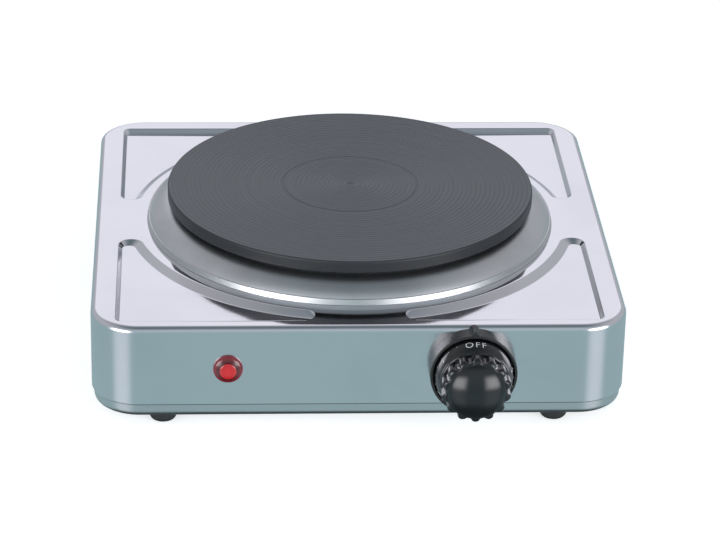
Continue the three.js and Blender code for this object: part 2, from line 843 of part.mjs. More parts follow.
function makeLampLens() {
  return turnedForward(
    [
      [0, lampRise],
      [lampDome * 0.6, lampRise - 0.15],
      [lampDome, lampRise - 0.6],
      [lampDome + 0.7, lampRise - 1.4],
      [lampRadius - 1.3, 2],
      [lampRadius - 0.3, 1.2],
      [lampRadius, 0.7],
      [lampRadius, touch],
      [lampStem, touch],
      [lampStem, -6],
      [lampStem - 1.4, -6],
      [lampStem - 1.4, 1.2],
      [0, 1.2],
    ],
    lampX,
    lampZ,
    24,
  );
}

function makeLampTube() {
  const start = -6 - clear;
  return turnedForward(
    [
      [lampStem - 1, start],
      [lampStem, start],
      [lampStem, start - lampBody + 6],
      [lampStem - 1, start - lampBody + 6],
    ],
    lampX,
    lampZ,
    24,
  );
}

function makeLampBulb() {
  return turnedForward(
    [
      [0, 0],
      [1.6, -0.5],
      [2.6, -2],
      [2.6, -15],
      [0, -15],
    ],
    lampX,
    lampZ,
    20,
    innerFace,
  );
}

function makeLampClip() {
  const ring = turnedForward(
    [
      [lampStem + 0.2, -sheet - touch],
      [lampStem + 3.2, -sheet - touch],
      [lampStem + 3.2, -sheet - 0.7],
      [lampStem + 0.2, -sheet - 1.6],
    ],
    lampX,
    lampZ,
    24,
  );
  const gap = block([lampX - 1, front, lampZ], [lampX + 1, front + 6, lampZ + 12]);
  return ring.subtract(gap);
}

add("lamp_lens", makeLampLens(), redLens);
add("lamp_tube", makeLampTube(), whitePlastic);
add("lamp_bulb", makeLampBulb(), glass);
add("lamp_clip", makeLampClip(), plated);

// --- mains side ---------------------------------------------------------------------------------

// Bush in the back wall: a flange outside, the wall's thickness, and a thread for the nut inside.
function makeCordGland() {
  return turnedForward(
    [
      [glandBore, -glandReach],
      [glandBody - 1.2, -glandReach],
      [glandFlange - 1.4, -2.6],
      [glandFlange, -2],
      [glandFlange, -touch],
      [glandBody, -touch],
      [glandBody, 9],
      [glandBore, 9],
    ],
    glandX,
    glandZ,
    24,
    back,
  );
}

function makeGlandNut() {
  const start = sheet + touch;
  const nut = pin(10.5, glandX, glandZ, back - start - 4, back - start, 6);
  return nut.subtract(pin(glandBody + clear / 2, glandX, glandZ, back - start - 5, back, 32));
}

const saddleHeight = 9;

// Bar that pinches the cord against the floor between two screws.
function makeCordClamp() {
  const low = baseFloor + touch;
  const bar = block(
    [glandX - clampHalf - 4, clampY - 4, low],
    [glandX + clampHalf + 4, clampY + 4, low + saddleHeight],
  );
  const tunnel = pin(glandBore - 0.4, glandX, low + 2.4, clampY - 5, clampY + 5, 20);
  const mouth = block([glandX - 3.2, clampY - 5, low - 1], [glandX + 3.2, clampY + 5, low + 2.4]);
  let clamp = bar.subtract(tunnel).subtract(mouth);
  for (const side of [-1, 1]) {
    const x = glandX + side * clampHalf;
    clamp = clamp.subtract(post(floorScrewRadius + clear, x, clampY, low - 1, low + saddleHeight + 1, 16));
  }
  return clamp;
}

const blockFloor = baseFloor + touch;
const poleLevel = blockFloor + mainsBlock.height / 2 + 1;
const leadFace = mainsY - mainsBlock.depth / 2;

function makeMainsBlock() {
  const { x, width, depth, height, pitch } = mainsBlock;
  const y = mainsY;
  let body = block(
    [x - width / 2, y - depth / 2, blockFloor],
    [x + width / 2, y + depth / 2, blockFloor + height],
  );
  for (let pole = -1; pole <= 1; pole++) {
    const px = x + pole * pitch;
    body = body.subtract(pin(1.9, px, poleLevel, y + depth / 2 - 5, y + depth / 2 + 1, 10));
    body = body.subtract(post(1.7, px, y - 5, blockFloor + height - 4, blockFloor + height + 1, 10));
  }
  const [sx, sy] = blockScrew;
  const shaft = post(floorScrewRadius + clear, sx, sy, blockFloor - 1, blockFloor + height, 10);
  return body.subtract(shaft).subtract(post(3.2, sx, sy, blockFloor + 4, blockFloor + height + 1, 12));
}

function makeEarthTag() {
  const [x, y] = earthPlace;
  const low = baseFloor + touch;
  const blade = block([x - 2.5, y - 8, low], [x + 2.5, y, low + 0.8]);
  const plate = post(4.2, x, y, low, low + 0.8, 24).add(blade);
  return plate.subtract(post(floorScrewRadius + clear, x, y, low - 1, low + 2, 16));
}

add("cord_gland", makeCordGland(), rubber);
add("gland_nut", makeGlandNut(), plated);
add("cord_clamp", makeCordClamp(), whitePlastic);
add("cord_clamp_screw_left", floorScrew(floorScrews[0], baseFloor + touch + saddleHeight), plated);
add("cord_clamp_screw_right", floorScrew(floorScrews[1], baseFloor + touch + saddleHeight), plated);
add("mains_terminal_block", makeMainsBlock(), whitePlastic);
add("mains_block_screw", floorScrew(blockScrew, blockFloor + 4), plated);
add("earth_tag", makeEarthTag(), brass);
add("earth_screw", floorScrew(earthPlace, baseFloor + touch + 0.8), plated);

// --- wiring -------------------------------------------------------------------------------------

const pole = (number) => mainsBlock.x + number * mainsBlock.pitch;
const leadStart = leadFace - 2 * clear;
const leadFloor = baseFloor + leadRadius + 3;
const tabIn = knobX + tabX;
const tabOut = knobX - tabX;
const tabReach = bodyBack + 7 + clear;
const bladeLevel = thermostatTabLevel + 0.4;
const between = (start, end, share) => start + share * (end - start);
const leadHang = between(leadFloor, lampZ, 0.12); // level of the lamp's leads where they cross
const plateTabX = blockX + plateBlock.width / 2 + 6 + 3 * clear;
const plateTabY = tabPitch / 2;
const rimReach = skirtRadius + 8;
const lampBack = front + lampBody + 2;
const overRim = shieldHeight + shieldWall + 4.4;

const leads = {
  lead_live_supply: {
    finish: redLead,
    steps: 18,
    points: [
      [pole(0), leadStart, poleLevel],
      [pole(0) + 1, leadFace - 24, poleLevel + 1],
      [pole(0) + 2, 20, poleLevel + 1],
      [pole(0) + 2, -40, poleLevel],
      [tabIn + 1, tabReach + 14, between(leadFloor, bladeLevel, 0.8)],
      [tabIn, tabReach, bladeLevel],
    ],
  },
  lead_live_switched: {
    finish: redLead,
    steps: 16,
    points: [
      [tabOut, tabReach, bladeLevel],
      [tabOut + 1, tabReach + 8, bladeLevel + 5],
      [rimReach * 0.64, -rimReach * 0.84, shieldHeight + 6],
      [rimReach * 0.76, -rimReach * 0.62, overRim - 2],
      [rimReach * 0.84, -rimReach * 0.34, overRim],
      [plateTabX + 4, -plateTabY - 6, overRim - 0.5],
      [plateTabX, -plateTabY, tabLevel + 0.4],
    ],
  },
  lead_neutral: {
    finish: blueLead,
    steps: 16,
    points: [
      [pole(1), leadStart, poleLevel + 1.6],
      [pole(1) + 0.5, leadFace - 5, poleLevel + 1.8],
      [pole(1) + 8, leadFace - 17, poleLevel + 5],
      [rimReach * 0.98, rimReach * 0.42, shieldHeight - 2],
      [rimReach * 0.95, rimReach * 0.26, overRim - 2],
      [rimReach * 0.9, rimReach * 0.18, overRim],
      [plateTabX, plateTabY, tabLevel + 0.4],
    ],
  },
  lead_earth: {
    finish: greenLead,
    steps: 10,
    points: [
      [pole(-1), leadStart, poleLevel],
      [pole(-1) - 0.5, leadFace - 7, poleLevel - 1],
      [pole(-1) - 8, leadFace - 12, leadFloor + 0.5],
      [earthPlace[0] + 2, earthPlace[1] - 15, leadFloor],
      [earthPlace[0], earthPlace[1] - 8 - 3 * clear, baseFloor + touch + leadRadius + 0.3],
    ],
  },
  lead_lamp_live: {
    finish: redLead,
    steps: 18,
    points: [
      [lampX + 1.8, lampBack, lampZ],
      [lampX + 8, lampBack + 6, between(lampZ, leadFloor, 0.6)],
      [lampX + 30, lampBack + 4, leadHang],
      [tabOut - 22, lampBack + 4, leadHang],
      [tabOut - 6, tabReach + 3, between(leadFloor, bladeLevel, 0.3)],
      [tabOut - 1.5, tabReach, bladeLevel - 2.8],
    ],
  },
  lead_lamp_neutral: {
    finish: blueLead,
    steps: 20,
    points: [
      [lampX - 1.8, lampBack, lampZ],
      [lampX - 3, lampBack + 12, between(lampZ, leadFloor, 0.6)],
      [lampX + 18, -40, leadHang],
      [0, 0, leadFloor],
      [pole(1) - 18, leadFace - 34, leadFloor],
      [pole(1) - 1, leadFace - 14, leadFloor],
      [pole(1), leadStart, poleLevel - 2.2],
    ],
  },
};

for (const [name, { finish, steps, points }] of Object.entries(leads)) {
  add(name, tube(points, leadRadius, steps), finish);
}

// The part's origin is under the middle of its box, which reaches from the knob to the gland.
hob.position.y = (domeEnd - glandReach) / 2;

export default hob;
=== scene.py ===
import json
import math
import bmesh
import bpy
from mathutils import Matrix, Vector
from mathutils.geometry import tessellate_polygon


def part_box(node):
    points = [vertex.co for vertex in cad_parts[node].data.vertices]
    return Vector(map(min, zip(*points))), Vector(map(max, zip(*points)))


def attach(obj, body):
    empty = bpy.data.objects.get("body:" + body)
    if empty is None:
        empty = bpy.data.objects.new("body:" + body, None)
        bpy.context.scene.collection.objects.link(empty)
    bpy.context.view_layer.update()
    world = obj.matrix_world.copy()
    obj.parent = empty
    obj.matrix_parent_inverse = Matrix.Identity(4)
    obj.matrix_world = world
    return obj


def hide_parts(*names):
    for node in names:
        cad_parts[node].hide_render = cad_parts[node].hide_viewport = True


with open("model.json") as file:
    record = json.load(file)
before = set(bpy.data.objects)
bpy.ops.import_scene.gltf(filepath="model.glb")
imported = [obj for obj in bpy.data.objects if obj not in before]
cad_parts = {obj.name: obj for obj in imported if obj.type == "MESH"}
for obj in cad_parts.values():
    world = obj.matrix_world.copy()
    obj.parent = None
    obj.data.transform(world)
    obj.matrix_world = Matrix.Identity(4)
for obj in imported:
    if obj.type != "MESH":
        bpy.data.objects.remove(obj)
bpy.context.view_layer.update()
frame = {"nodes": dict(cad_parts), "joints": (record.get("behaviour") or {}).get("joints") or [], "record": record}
mm = 0.001
quarter = math.pi / 2

# Places taken from the frame, in metres.
shellLow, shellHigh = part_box("top_shell")
plateLow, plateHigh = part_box("hot_plate")
ringLow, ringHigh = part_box("spill_ring")
lensLow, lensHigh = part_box("lamp_lens")
glandLow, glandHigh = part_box("cord_gland")
panLow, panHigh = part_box("base_pan")
centreX = (plateLow.x + plateHigh.x) / 2
centreY = (plateLow.y + plateHigh.y) / 2
lensX, lensZ = (lensLow.x + lensHigh.x) / 2, (lensLow.z + lensHigh.z) / 2
glandX, glandZ = (glandLow.x + glandHigh.x) / 2, (glandLow.z + glandHigh.z) / 2
frontFace, backFace = shellLow.y, shellHigh.y
shellTop = shellHigh.z
plateRadius = plateHigh.x - centreX
spillRadius = ringHigh.x - centreX
skirtRadius = plateRadius - 8.8 * mm  # the skirt under the plate
knobX, _, knobZ = frame["joints"][0]["pos_m"]
screwSpots = [(knobX - 14 * mm, knobZ), (knobX + 14 * mm, knobZ)]  # the thermostat's screws
screwHole = 2.2 * mm
cutHalf = 3 * mm  # how far a hole's cutter reaches to each side of its wall


# Camera.

cameraSetup = {
    "azimuth": 3.44,  # degrees to the left of straight on
    "elevation": 25.61,
    "roll": 1.27,
    "distance": 1.61783,
    "across": 0.00608,  # aim point right of the plate's axis
    "up": 0.02155,  # and above the table
    "lens": 153.71,
    "sensor": 36.0,
}


def addObject(name, data):
    added = bpy.data.objects.new(name, data)
    bpy.context.scene.collection.objects.link(added)
    return added


def makeCamera(setup):
    azimuth, elevation, roll = (math.radians(setup[key]) for key in ("azimuth", "elevation", "roll"))
    forward = Vector((
        math.sin(azimuth) * math.cos(elevation),
        math.cos(azimuth) * math.cos(elevation),
        -math.sin(elevation),
    ))
    right = Vector((math.cos(azimuth), -math.sin(azimuth), 0))
    up = right.cross(forward)
    turnedRight = right * math.cos(roll) + up * math.sin(roll)
    turnedUp = up * math.cos(roll) - right * math.sin(roll)
    aim = Vector((centreX, centreY, 0)) + right * setup["across"] + up * setup["up"]
    data = bpy.data.cameras.new("studioCamera")
    data.lens = setup["lens"]
    data.sensor_width = setup["sensor"]
    data.clip_end = 20
    camera = addObject("studioCamera", data)
    columns = Matrix((turnedRight, turnedUp, -forward)).transposed().to_4x4()
    columns.translation = aim - forward * setup["distance"]
    camera.matrix_world = columns
    bpy.context.scene.camera = camera


makeCamera(cameraSetup)
print("camera set")


# Node helpers.

# Adds a node. Each input is given a value, or the output that feeds it.
def addNode(tree, kind, inputs=None, **settings):
    node = tree.nodes.new(kind)
    for key, value in settings.items():
        setattr(node, key, value)
    for key, value in (inputs or {}).items():
        if isinstance(value, bpy.types.NodeSocket):
            tree.links.new(value, node.inputs[key])
        else:
            node.inputs[key].default_value = value
    return node


def mathNode(tree, operation, *inputs, **settings):
    return addNode(tree, "ShaderNodeMath", dict(enumerate(inputs)), operation=operation, **settings).outputs[0]


def vectorNode(tree, operation, *inputs, output="Vector"):
    return addNode(tree, "ShaderNodeVectorMath", dict(enumerate(inputs)), operation=operation).outputs[output]


def mapRange(tree, value, start=0.0, end=1.0, low=0.0, high=1.0, kind="LINEAR"):
    spans = {"Value": value, "From Min": start, "From Max": end, "To Min": low, "To Max": high}
    return addNode(tree, "ShaderNodeMapRange", spans, interpolation_type=kind).outputs["Result"]


def noiseNode(tree, place, **inputs):
    return addNode(tree, "ShaderNodeTexNoise", {"Vector": place, **inputs}).outputs["Fac"]


# Mixes two colours, each a tuple or an output. The node's inputs 6 and 7 are its colours.
def mixColours(tree, factor, first, second, **settings):
    first, second = ((*value, 1) if isinstance(value, tuple) else value for value in (first, second))
    inputs = {"Factor": factor, 6: first, 7: second}
    return addNode(tree, "ShaderNodeMix", inputs, data_type="RGBA", **settings).outputs[2]


def colourRamp(tree, value, stops):
    node = addNode(tree, "ShaderNodeValToRGB", {"Fac": value})
    elements = node.color_ramp.elements
    while len(elements) < len(stops):
        elements.new(0.5)
    for element, (position, colour) in zip(elements, stops):
        element.position = position
        element.color = (*colour, 1)
    return node.outputs["Color"]


def coordinates(tree):
    return tree.nodes.new("ShaderNodeTexCoord").outputs


def upwardPart(tree, vector):
    return addNode(tree, "ShaderNodeSeparateXYZ", {"Vector": vector}).outputs["Z"]


# Distance from an axis: flatten keeps the two directions across it.
def axisDistance(tree, offset, flatten):
    return vectorNode(tree, "LENGTH", vectorNode(tree, "MULTIPLY", offset, flatten), output="Value")


# Shader node groups.

def newGroup(name, **inputs):
    group = bpy.data.node_groups.new(name, "ShaderNodeTree")
    for label, default in inputs.items():
        kind = "NodeSocketVector" if isinstance(default, tuple) else "NodeSocketFloat"
        group.interface.new_socket(label, in_out="INPUT", socket_type=kind).default_value = default
    return group, group.nodes.new("NodeGroupInput").outputs


def endGroup(group, **results):
    for label in results:
        group.interface.new_socket(label, in_out="OUTPUT", socket_type="NodeSocketFloat")
    addNode(group, "NodeGroupOutput", results)
    return group


# Soft cloudy smudges, as handling and cleaning leave on a polished surface.
def makeSmudges():
    group, given = newGroup("handlingSmudges", Scale=18.0, Low=0.4, High=0.7)
    place = coordinates(group)["Object"]
    noise = noiseNode(group, place, Scale=given["Scale"], Detail=4.0, Roughness=0.6, Distortion=0.4)
    return endGroup(group, Mask=mapRange(group, noise, given["Low"], given["High"], kind="SMOOTHSTEP"))


# Fine drawn or brushed lines: noise stretched along one axis.
def makeDrawnGrain():
    group, given = newGroup("drawnGrain", Stretch=(40.0, 2500.0, 2500.0), Contrast=1.0)
    place = vectorNode(group, "MULTIPLY", coordinates(group)["Object"], given["Stretch"])
    noise = noiseNode(group, place, Scale=1.0, Detail=3.0, Roughness=0.55)
    streak = mathNode(group, "MULTIPLY", mathNode(group, "SUBTRACT", noise, 0.5), given["Contrast"])
    return endGroup(group, Height=noise, Streak=mathNode(group, "ADD", streak, 0.5, use_clamp=True))


# Turned lines round an upright axis: the noise runs over the distance from it.
def makeTurnedGrain():
    group, given = newGroup("turnedGrain", Centre=(0, 0, 0), Lines=900.0)
    offset = vectorNode(group, "SUBTRACT", coordinates(group)["Object"], given["Centre"])
    reach = axisDistance(group, offset, (1, 1, 0))
    joinUp = addNode(group, "ShaderNodeCombineXYZ", {"X": reach, "Z": upwardPart(group, offset)})
    scaling = {0: joinUp.outputs["Vector"], "Scale": given["Lines"]}
    lines = addNode(group, "ShaderNodeVectorMath", scaling, operation="SCALE")
    noise = noiseNode(group, lines.outputs["Vector"], Scale=1.0, Detail=2.0)
    return endGroup(group, Height=noise, Streak=noise)


# Pebbly skin of a casting or a moulding.
def makeMouldSkin():
    group, given = newGroup("mouldSkin", Scale=1800.0, Coarse=0.4)
    place = coordinates(group)["Object"]
    fine = noiseNode(group, place, Scale=given["Scale"], Detail=3.0, Roughness=0.6)
    pebbles = {"Vector": place, "Scale": mathNode(group, "MULTIPLY", given["Scale"], 0.17)}
    coarse = addNode(group, "ShaderNodeTexVoronoi", pebbles, feature="SMOOTH_F1").outputs["Distance"]
    mixing = {"Factor": given["Coarse"], "A": fine, "B": coarse}
    blend = addNode(group, "ShaderNodeMix", mixing, data_type="FLOAT")
    return endGroup(group, Height=blend.outputs["Result"], Mask=fine)


# Dust that has settled on faces that look up, in patches.
def makeSettledDust():
    group, given = newGroup("settledDust", Scale=60.0, Amount=0.3)
    noise = noiseNode(group, coordinates(group)["Object"], Scale=given["Scale"], Detail=5.0, Roughness=0.7)
    normal = group.nodes.new("ShaderNodeNewGeometry").outputs["Normal"]
    patches = mathNode(group, "MULTIPLY", noise, mapRange(group, upwardPart(group, normal), 0.2, 1.0))
    return endGroup(group, Mask=mathNode(group, "MULTIPLY", patches, given["Amount"], use_clamp=True))


smudges = makeSmudges()
drawnGrain = makeDrawnGrain()
turnedGrain = makeTurnedGrain()
mouldSkin = makeMouldSkin()
settledDust = makeSettledDust()


# Finishes.

class Finish:
    # One material in the making: its tree, its Principled shader and the few links that every finish uses.
    def __init__(self, name, sockets):
        self.material = bpy.data.materials.new(name)
        self.material.use_nodes = True
        self.tree = self.material.node_tree
        self.shader = self.tree.nodes["Principled BSDF"]
        for label, value in sockets.items():
            self.shader.inputs[label].default_value = value

    def effect(self, group, **values):
        return addNode(self.tree, "ShaderNodeGroup", values, node_tree=group).outputs

    def range(self, output, low, high):
        return mapRange(self.tree, output, low=low, high=high)

    def mix(self, factor, first, second):
        return mixColours(self.tree, factor, first, second)

    def bump(self, height, strength, distance, **under):
        inputs = {"Height": height, "Strength": strength, "Distance": distance, **under}
        return addNode(self.tree, "ShaderNodeBump", inputs).outputs["Normal"]

    # Feeds the shader, and hands over the finished material.
    def feed(self, colour, roughness=None, normal=None):
        for output, label in ((colour, "Base Color"), (roughness, "Roughness"), (normal, "Normal")):
            if output is not None:
                self.tree.links.new(output, self.shader.inputs[label])
        return self.material


metal = {"Metallic": 1.0}
plateAxis = (centreX, centreY, 0)


# The upright walls are brushed, the top is polished.
def polishedSheet(name, tone, shade, low, high, grainBump, wallRoughness):
    finish = Finish(name, metal)
    tree = finish.tree
    smear = finish.effect(smudges, Scale=14.0, Low=0.42, High=0.72)["Mask"]
    grain = finish.effect(drawnGrain, Stretch=(25.0, 2200.0, 2200.0), Contrast=1.6)
    place = coordinates(tree)
    brushed = mapRange(tree, upwardPart(tree, place["Normal"]), 0.7, 0.3, 0.0, wallRoughness)
    polish = mathNode(tree, "ADD", finish.range(smear, low, high), brushed)
    wavy = finish.bump(noiseNode(tree, place["Object"], Scale=9.0, Detail=1.0), 0.18, 0.0012)
    return finish.feed(
        finish.mix(smear, tone, shade),
        mathNode(tree, "MULTIPLY_ADD", grain["Streak"], 0.02, polish),
        finish.bump(grain["Height"], grainBump, 0.00002, Normal=wavy),
    )


def spunSteel(name, tone, shade, roughness):
    finish = Finish(name, metal)
    lines = finish.effect(turnedGrain, Centre=plateAxis, Lines=1100.0)
    return finish.feed(
        finish.mix(finish.effect(smudges, Scale=22.0, Low=0.4, High=0.75)["Mask"], tone, shade),
        finish.range(lines["Streak"], roughness * 0.7, roughness * 1.4),
        finish.bump(lines["Height"], 0.12, 0.00003),
    )


def platedSteel(name, tone, shade, roughness, stretch):
    finish = Finish(name, metal)
    grain = finish.effect(drawnGrain, Stretch=stretch, Contrast=2.0)
    return finish.feed(
        finish.mix(finish.effect(smudges, Scale=120.0, Low=0.3, High=0.8)["Mask"], tone, shade),
        finish.range(grain["Streak"], roughness * 0.8, roughness * 1.3),
        finish.bump(grain["Height"], 0.25, 0.00003),
    )


# The turned face is lighter than the cast edge.
def coatedIron(name, tone, face, worn, roughness):
    finish = Finish(name, {"Specular IOR Level": 0.5})
    tree = finish.tree
    skin = finish.effect(mouldSkin, Scale=2600.0, Coarse=0.35)
    lines = finish.effect(turnedGrain, Centre=plateAxis, Lines=700.0)
    dust = finish.effect(settledDust, Scale=35.0, Amount=0.12)["Mask"]
    faced = mapRange(tree, upwardPart(tree, coordinates(tree)["Normal"]), 0.8, 0.93)
    body = finish.mix(faced, tone, finish.mix(lines["Streak"], face, worn))
    return finish.feed(
        finish.mix(dust, body, (0.2, 0.2, 0.21)),
        finish.range(skin["Mask"], roughness - 0.08, roughness + 0.1),
        finish.bump(skin["Height"], 0.3, 0.00006),
    )


def moulded(name, tone, shade, roughness, skinScale, skinDepth, dustAmount=0.15, ior=1.5):
    finish = Finish(name, {"IOR": ior})
    skin = finish.effect(mouldSkin, Scale=skinScale, Coarse=0.3)
    dust = finish.effect(settledDust, Scale=90.0, Amount=dustAmount)["Mask"]
    smear = finish.effect(smudges, Scale=70.0, Low=0.45, High=0.8)["Mask"]
    return finish.feed(
        finish.mix(dust, finish.mix(skin["Mask"], tone, shade), (0.3, 0.29, 0.28)),
        finish.range(smear, roughness, roughness * 1.5 + 0.02),
        finish.bump(skin["Height"], 0.2, skinDepth),
    )


# Painted light by the distance from the lens's axis: a bright red centre painted as if lit through, then a dark
# ring of painted shade, then a lighter bevel as a painted highlight.
def tintedLens(name):
    finish = Finish(name, {"Coat Weight": 1.0, "Coat Roughness": 0.02})
    tree = finish.tree
    offset = vectorNode(tree, "SUBTRACT", coordinates(tree)["Object"], tuple((lensLow + lensHigh) / 2))
    share = mapRange(tree, axisDistance(tree, offset, (1, 0, 1)), end=(lensHigh.x - lensLow.x) / 2)
    # the ramp paints light and shade into the red: a lit-through centre, a shaded ring and a highlighted bevel
    depth = colourRamp(tree, share, [
        (0.0, (0.46, 0.012, 0.014)), (0.52, (0.4, 0.008, 0.011)), (0.6, (0.05, 0.0, 0.002)),
        (0.76, (0.09, 0.002, 0.005)), (0.9, (0.16, 0.01, 0.018)), (1.0, (0.2, 0.03, 0.045)),
    ])
    smear = finish.effect(smudges, Scale=200.0, Low=0.4, High=0.8)["Mask"]
    return finish.feed(depth, finish.range(smear, 0.06, 0.14))


def clearGlass(name, tone):
    finish = Finish(name, {"Transmission Weight": 0.9, "IOR": 1.47})
    smear = finish.effect(smudges, Scale=150.0, Low=0.35, High=0.8)["Mask"]
    return finish.feed(finish.mix(smear, tone, tuple(c * 0.85 for c in tone)), finish.range(smear, 0.03, 0.12))


finishes = {
    "polished_steel": polishedSheet(
        "polishedSheet", (0.86, 0.86, 0.9), (0.82, 0.82, 0.865), 0.06, 0.09, 0.05, 0.1,
    ),
    "ring_steel": spunSteel("spunRing", (0.74, 0.75, 0.76), (0.64, 0.65, 0.66), 0.34),
    "base_steel": polishedSheet(
        "satinBaseSheet", (0.76, 0.77, 0.79), (0.7, 0.71, 0.73), 0.18, 0.26, 0.12, 0.05,
    ),
    "cast_iron": coatedIron(
        "coatedIron", (0.02, 0.022, 0.025), (0.097, 0.105, 0.117), (0.132, 0.141, 0.154), 0.4,
    ),
    "knob_plastic": moulded(
        "glossBlackKnob", (0.004, 0.005, 0.006), (0.006, 0.007, 0.008), 0.15, 900.0, 0.000004,
        dustAmount=0.01, ior=1.65,
    ),
    "collar_plastic": moulded(
        "satinBlackCollar", (0.018, 0.019, 0.02), (0.024, 0.025, 0.027), 0.26, 1500.0, 0.00001,
        dustAmount=0.04,
    ),
    "lamp_red": tintedLens("redLens"),
    "gland_rubber": moulded(
        "glandRubber", (0.02, 0.02, 0.021), (0.028, 0.028, 0.029), 0.55, 1600.0, 0.00004,
    ),
    "foot_rubber": moulded(
        "footRubber", (0.012, 0.013, 0.014), (0.02, 0.021, 0.022), 0.6, 1400.0, 0.00005,
    ),
    "plated_fixing": platedSteel(
        "zincFixing", (0.62, 0.61, 0.57), (0.52, 0.51, 0.48), 0.3, (400.0, 400.0, 3000.0),
    ),
    "plated_sheet": platedSteel(
        "zincSheet", (0.58, 0.58, 0.57), (0.47, 0.47, 0.47), 0.34, (40.0, 1800.0, 1800.0),
    ),
    "coil_metal": platedSteel(
        "tintedSheath", (0.32, 0.27, 0.22), (0.16, 0.15, 0.17), 0.42, (900.0, 900.0, 900.0),
    ),
    "ceramic": moulded(
        "steatite", (0.72, 0.67, 0.56), (0.64, 0.58, 0.48), 0.6, 1100.0, 0.00006, dustAmount=0.3,
    ),
    "brass": platedSteel(
        "rolledBrass", (0.78, 0.58, 0.27), (0.62, 0.44, 0.2), 0.28, (60.0, 2200.0, 2200.0),
    ),
    "white_plastic": moulded(
        "whiteMoulding", (0.76, 0.75, 0.7), (0.7, 0.69, 0.64), 0.42, 1300.0, 0.00003,
    ),
    "bulb_glass": clearGlass("bulbGlass", (0.92, 0.78, 0.62)),
    "lead_red": moulded("redSleeve", (0.42, 0.04, 0.03), (0.35, 0.03, 0.025), 0.5, 2400.0, 0.00003),
    "lead_blue": moulded("blueSleeve", (0.035, 0.1, 0.38), (0.03, 0.08, 0.3), 0.5, 2400.0, 0.00003),
    "lead_green": moulded("greenSleeve", (0.2, 0.4, 0.06), (0.5, 0.45, 0.05), 0.5, 2400.0, 0.00003),
}
printWhite = moulded("dialPrint", (0.8, 0.8, 0.78), (0.7, 0.7, 0.69), 0.4, 3000.0, 0.00001, dustAmount=0.05)

slotOfNode = {part["node"]: part["material_slot"] for part in frame["record"]["subparts"]}
for nodeName, cadNode in frame["nodes"].items():
    cadNode.data.materials.clear()
    cadNode.data.materials.append(finishes[slotOfNode[nodeName]])
print("finishes made:", len(bpy.data.materials))


# Mesh helpers.

def lerp(a, b, t):
    return a + (b - a) * t


def directionAt(angle):
    return Vector((math.cos(angle), math.sin(angle)))


def smoothStep(value):
    value = min(1.0, max(0.0, value))
    return value * value * (3 - 2 * value)


def evenly(start, end, steps):
    return [start.lerp(end, i / steps) for i in range(1, steps)]


def turns(steps):
    return [2 * math.pi * j / steps for j in range(steps)]


def arcPoints(cx, cy, radius, start, end, steps):
    angles = [start + (end - start) * i / steps for i in range(steps + 1)]
    return [Vector((cx + radius * math.cos(a), cy + radius * math.sin(a))) for a in angles]


def smoothed(mesh, sharpAngle=32):
    mesh.shade_smooth()
    mesh.set_sharp_from_angle(angle=math.radians(sharpAngle))


def plainMesh(name, vertices, faces, material):
    mesh = bpy.data.meshes.new(name)
    mesh.from_pydata([tuple(v) for v in vertices], [], faces)
    mesh.materials.append(material)
    return mesh


def meshObject(name, vertices, faces, material, sharpAngle=32):
    mesh = plainMesh(name, vertices, faces, material)
    work = bmesh.new()
    work.from_mesh(mesh)
    bmesh.ops.remove_doubles(work, verts=work.verts, dist=1e-6)
    bmesh.ops.recalc_face_normals(work, faces=work.faces)
    work.to_mesh(mesh)
    work.free()
    smoothed(mesh, sharpAngle)
    return addObject(name, mesh)


# Adds points and faces to a mesh in the making. The faces count from the first new point.
def join(vertices, faces, newVertices, newFaces):
    start = len(vertices)
    vertices += newVertices
    faces += [tuple(start + i for i in face) for face in newFaces]


# The same for a finished object, which is then removed.
def joinObject(vertices, faces, piece):
    mesh = piece.data
    join(vertices, faces, [v.co.copy() for v in mesh.vertices], [polygon.vertices for polygon in mesh.polygons])
    bpy.data.objects.remove(piece)


# Rounds the corners of an outline of (radius, height, fillet).
def softened(corners, steps=5):
    points = []
    for k, (radius, height, fillet) in enumerate(corners):
        here = Vector((radius, height))
        if fillet == 0 or k in (0, len(corners) - 1):
            points.append(here)
            continue
        before = Vector(corners[k - 1][:2]) - here
        after = Vector(corners[k + 1][:2]) - here
        start = here + before.normalized() * min(fillet, before.length * 0.48)
        end = here + after.normalized() * min(fillet, after.length * 0.48)
        for i in range(steps + 1):
            t = i / steps
            points.append(start * (1 - t) ** 2 + here * (2 * t * (1 - t)) + end * t ** 2)
    return [(p.x, p.y) for p in points]


def upright(radius, angle, height):
    return Vector((centreX + radius * math.cos(angle), centreY + radius * math.sin(angle), height))


# Angle is clockwise from the top; reach is the distance out of a wall that faces -Y or, with outward 1, +Y.
def outOfWall(x, z, wall=frontFace, outward=-1):
    def place(radius, angle, reach):
        return Vector((x + radius * math.sin(angle), wall + outward * reach, z + radius * math.cos(angle)))
    return place


# Rows of rings between two ends. Each row is (radius or function of the angle, height).
def radialSurface(rows, angles, place, closed=False):
    vertices = []
    for radius, height in rows:
        for angle in angles:
            vertices.append(place(radius(angle) if callable(radius) else radius, angle, height))
    count = len(angles)
    faces = []
    last = len(rows) if closed else len(rows) - 1
    for i in range(last):
        for j in range(count):
            a, b = i * count, ((i + 1) % len(rows)) * count
            k = (j + 1) % count
            faces.append((a + j, a + k, b + k, b + j))
    return vertices, faces


# A surface of revolution as one closed body. Rows on the axis close into a pole.
def turnedPiece(name, rows, steps, place, material, closed=False):
    vertices, faces = radialSurface(rows, turns(steps), place, closed)
    piece = meshObject(name, vertices, faces, material)
    closePoles(piece)
    return piece


# Merging the points on the axis leaves collapsed faces, which are dropped here.
def closePoles(piece):
    work = bmesh.new()
    work.from_mesh(piece.data)
    bmesh.ops.dissolve_degenerate(work, dist=1e-7, edges=work.edges)
    work.to_mesh(piece.data)
    work.free()


def evaluatedMesh(piece):
    graph = bpy.context.evaluated_depsgraph_get()
    graph.update()
    evaluated = piece.evaluated_get(graph)
    return bpy.data.meshes.new_from_object(evaluated, preserve_all_data_layers=True, depsgraph=graph)


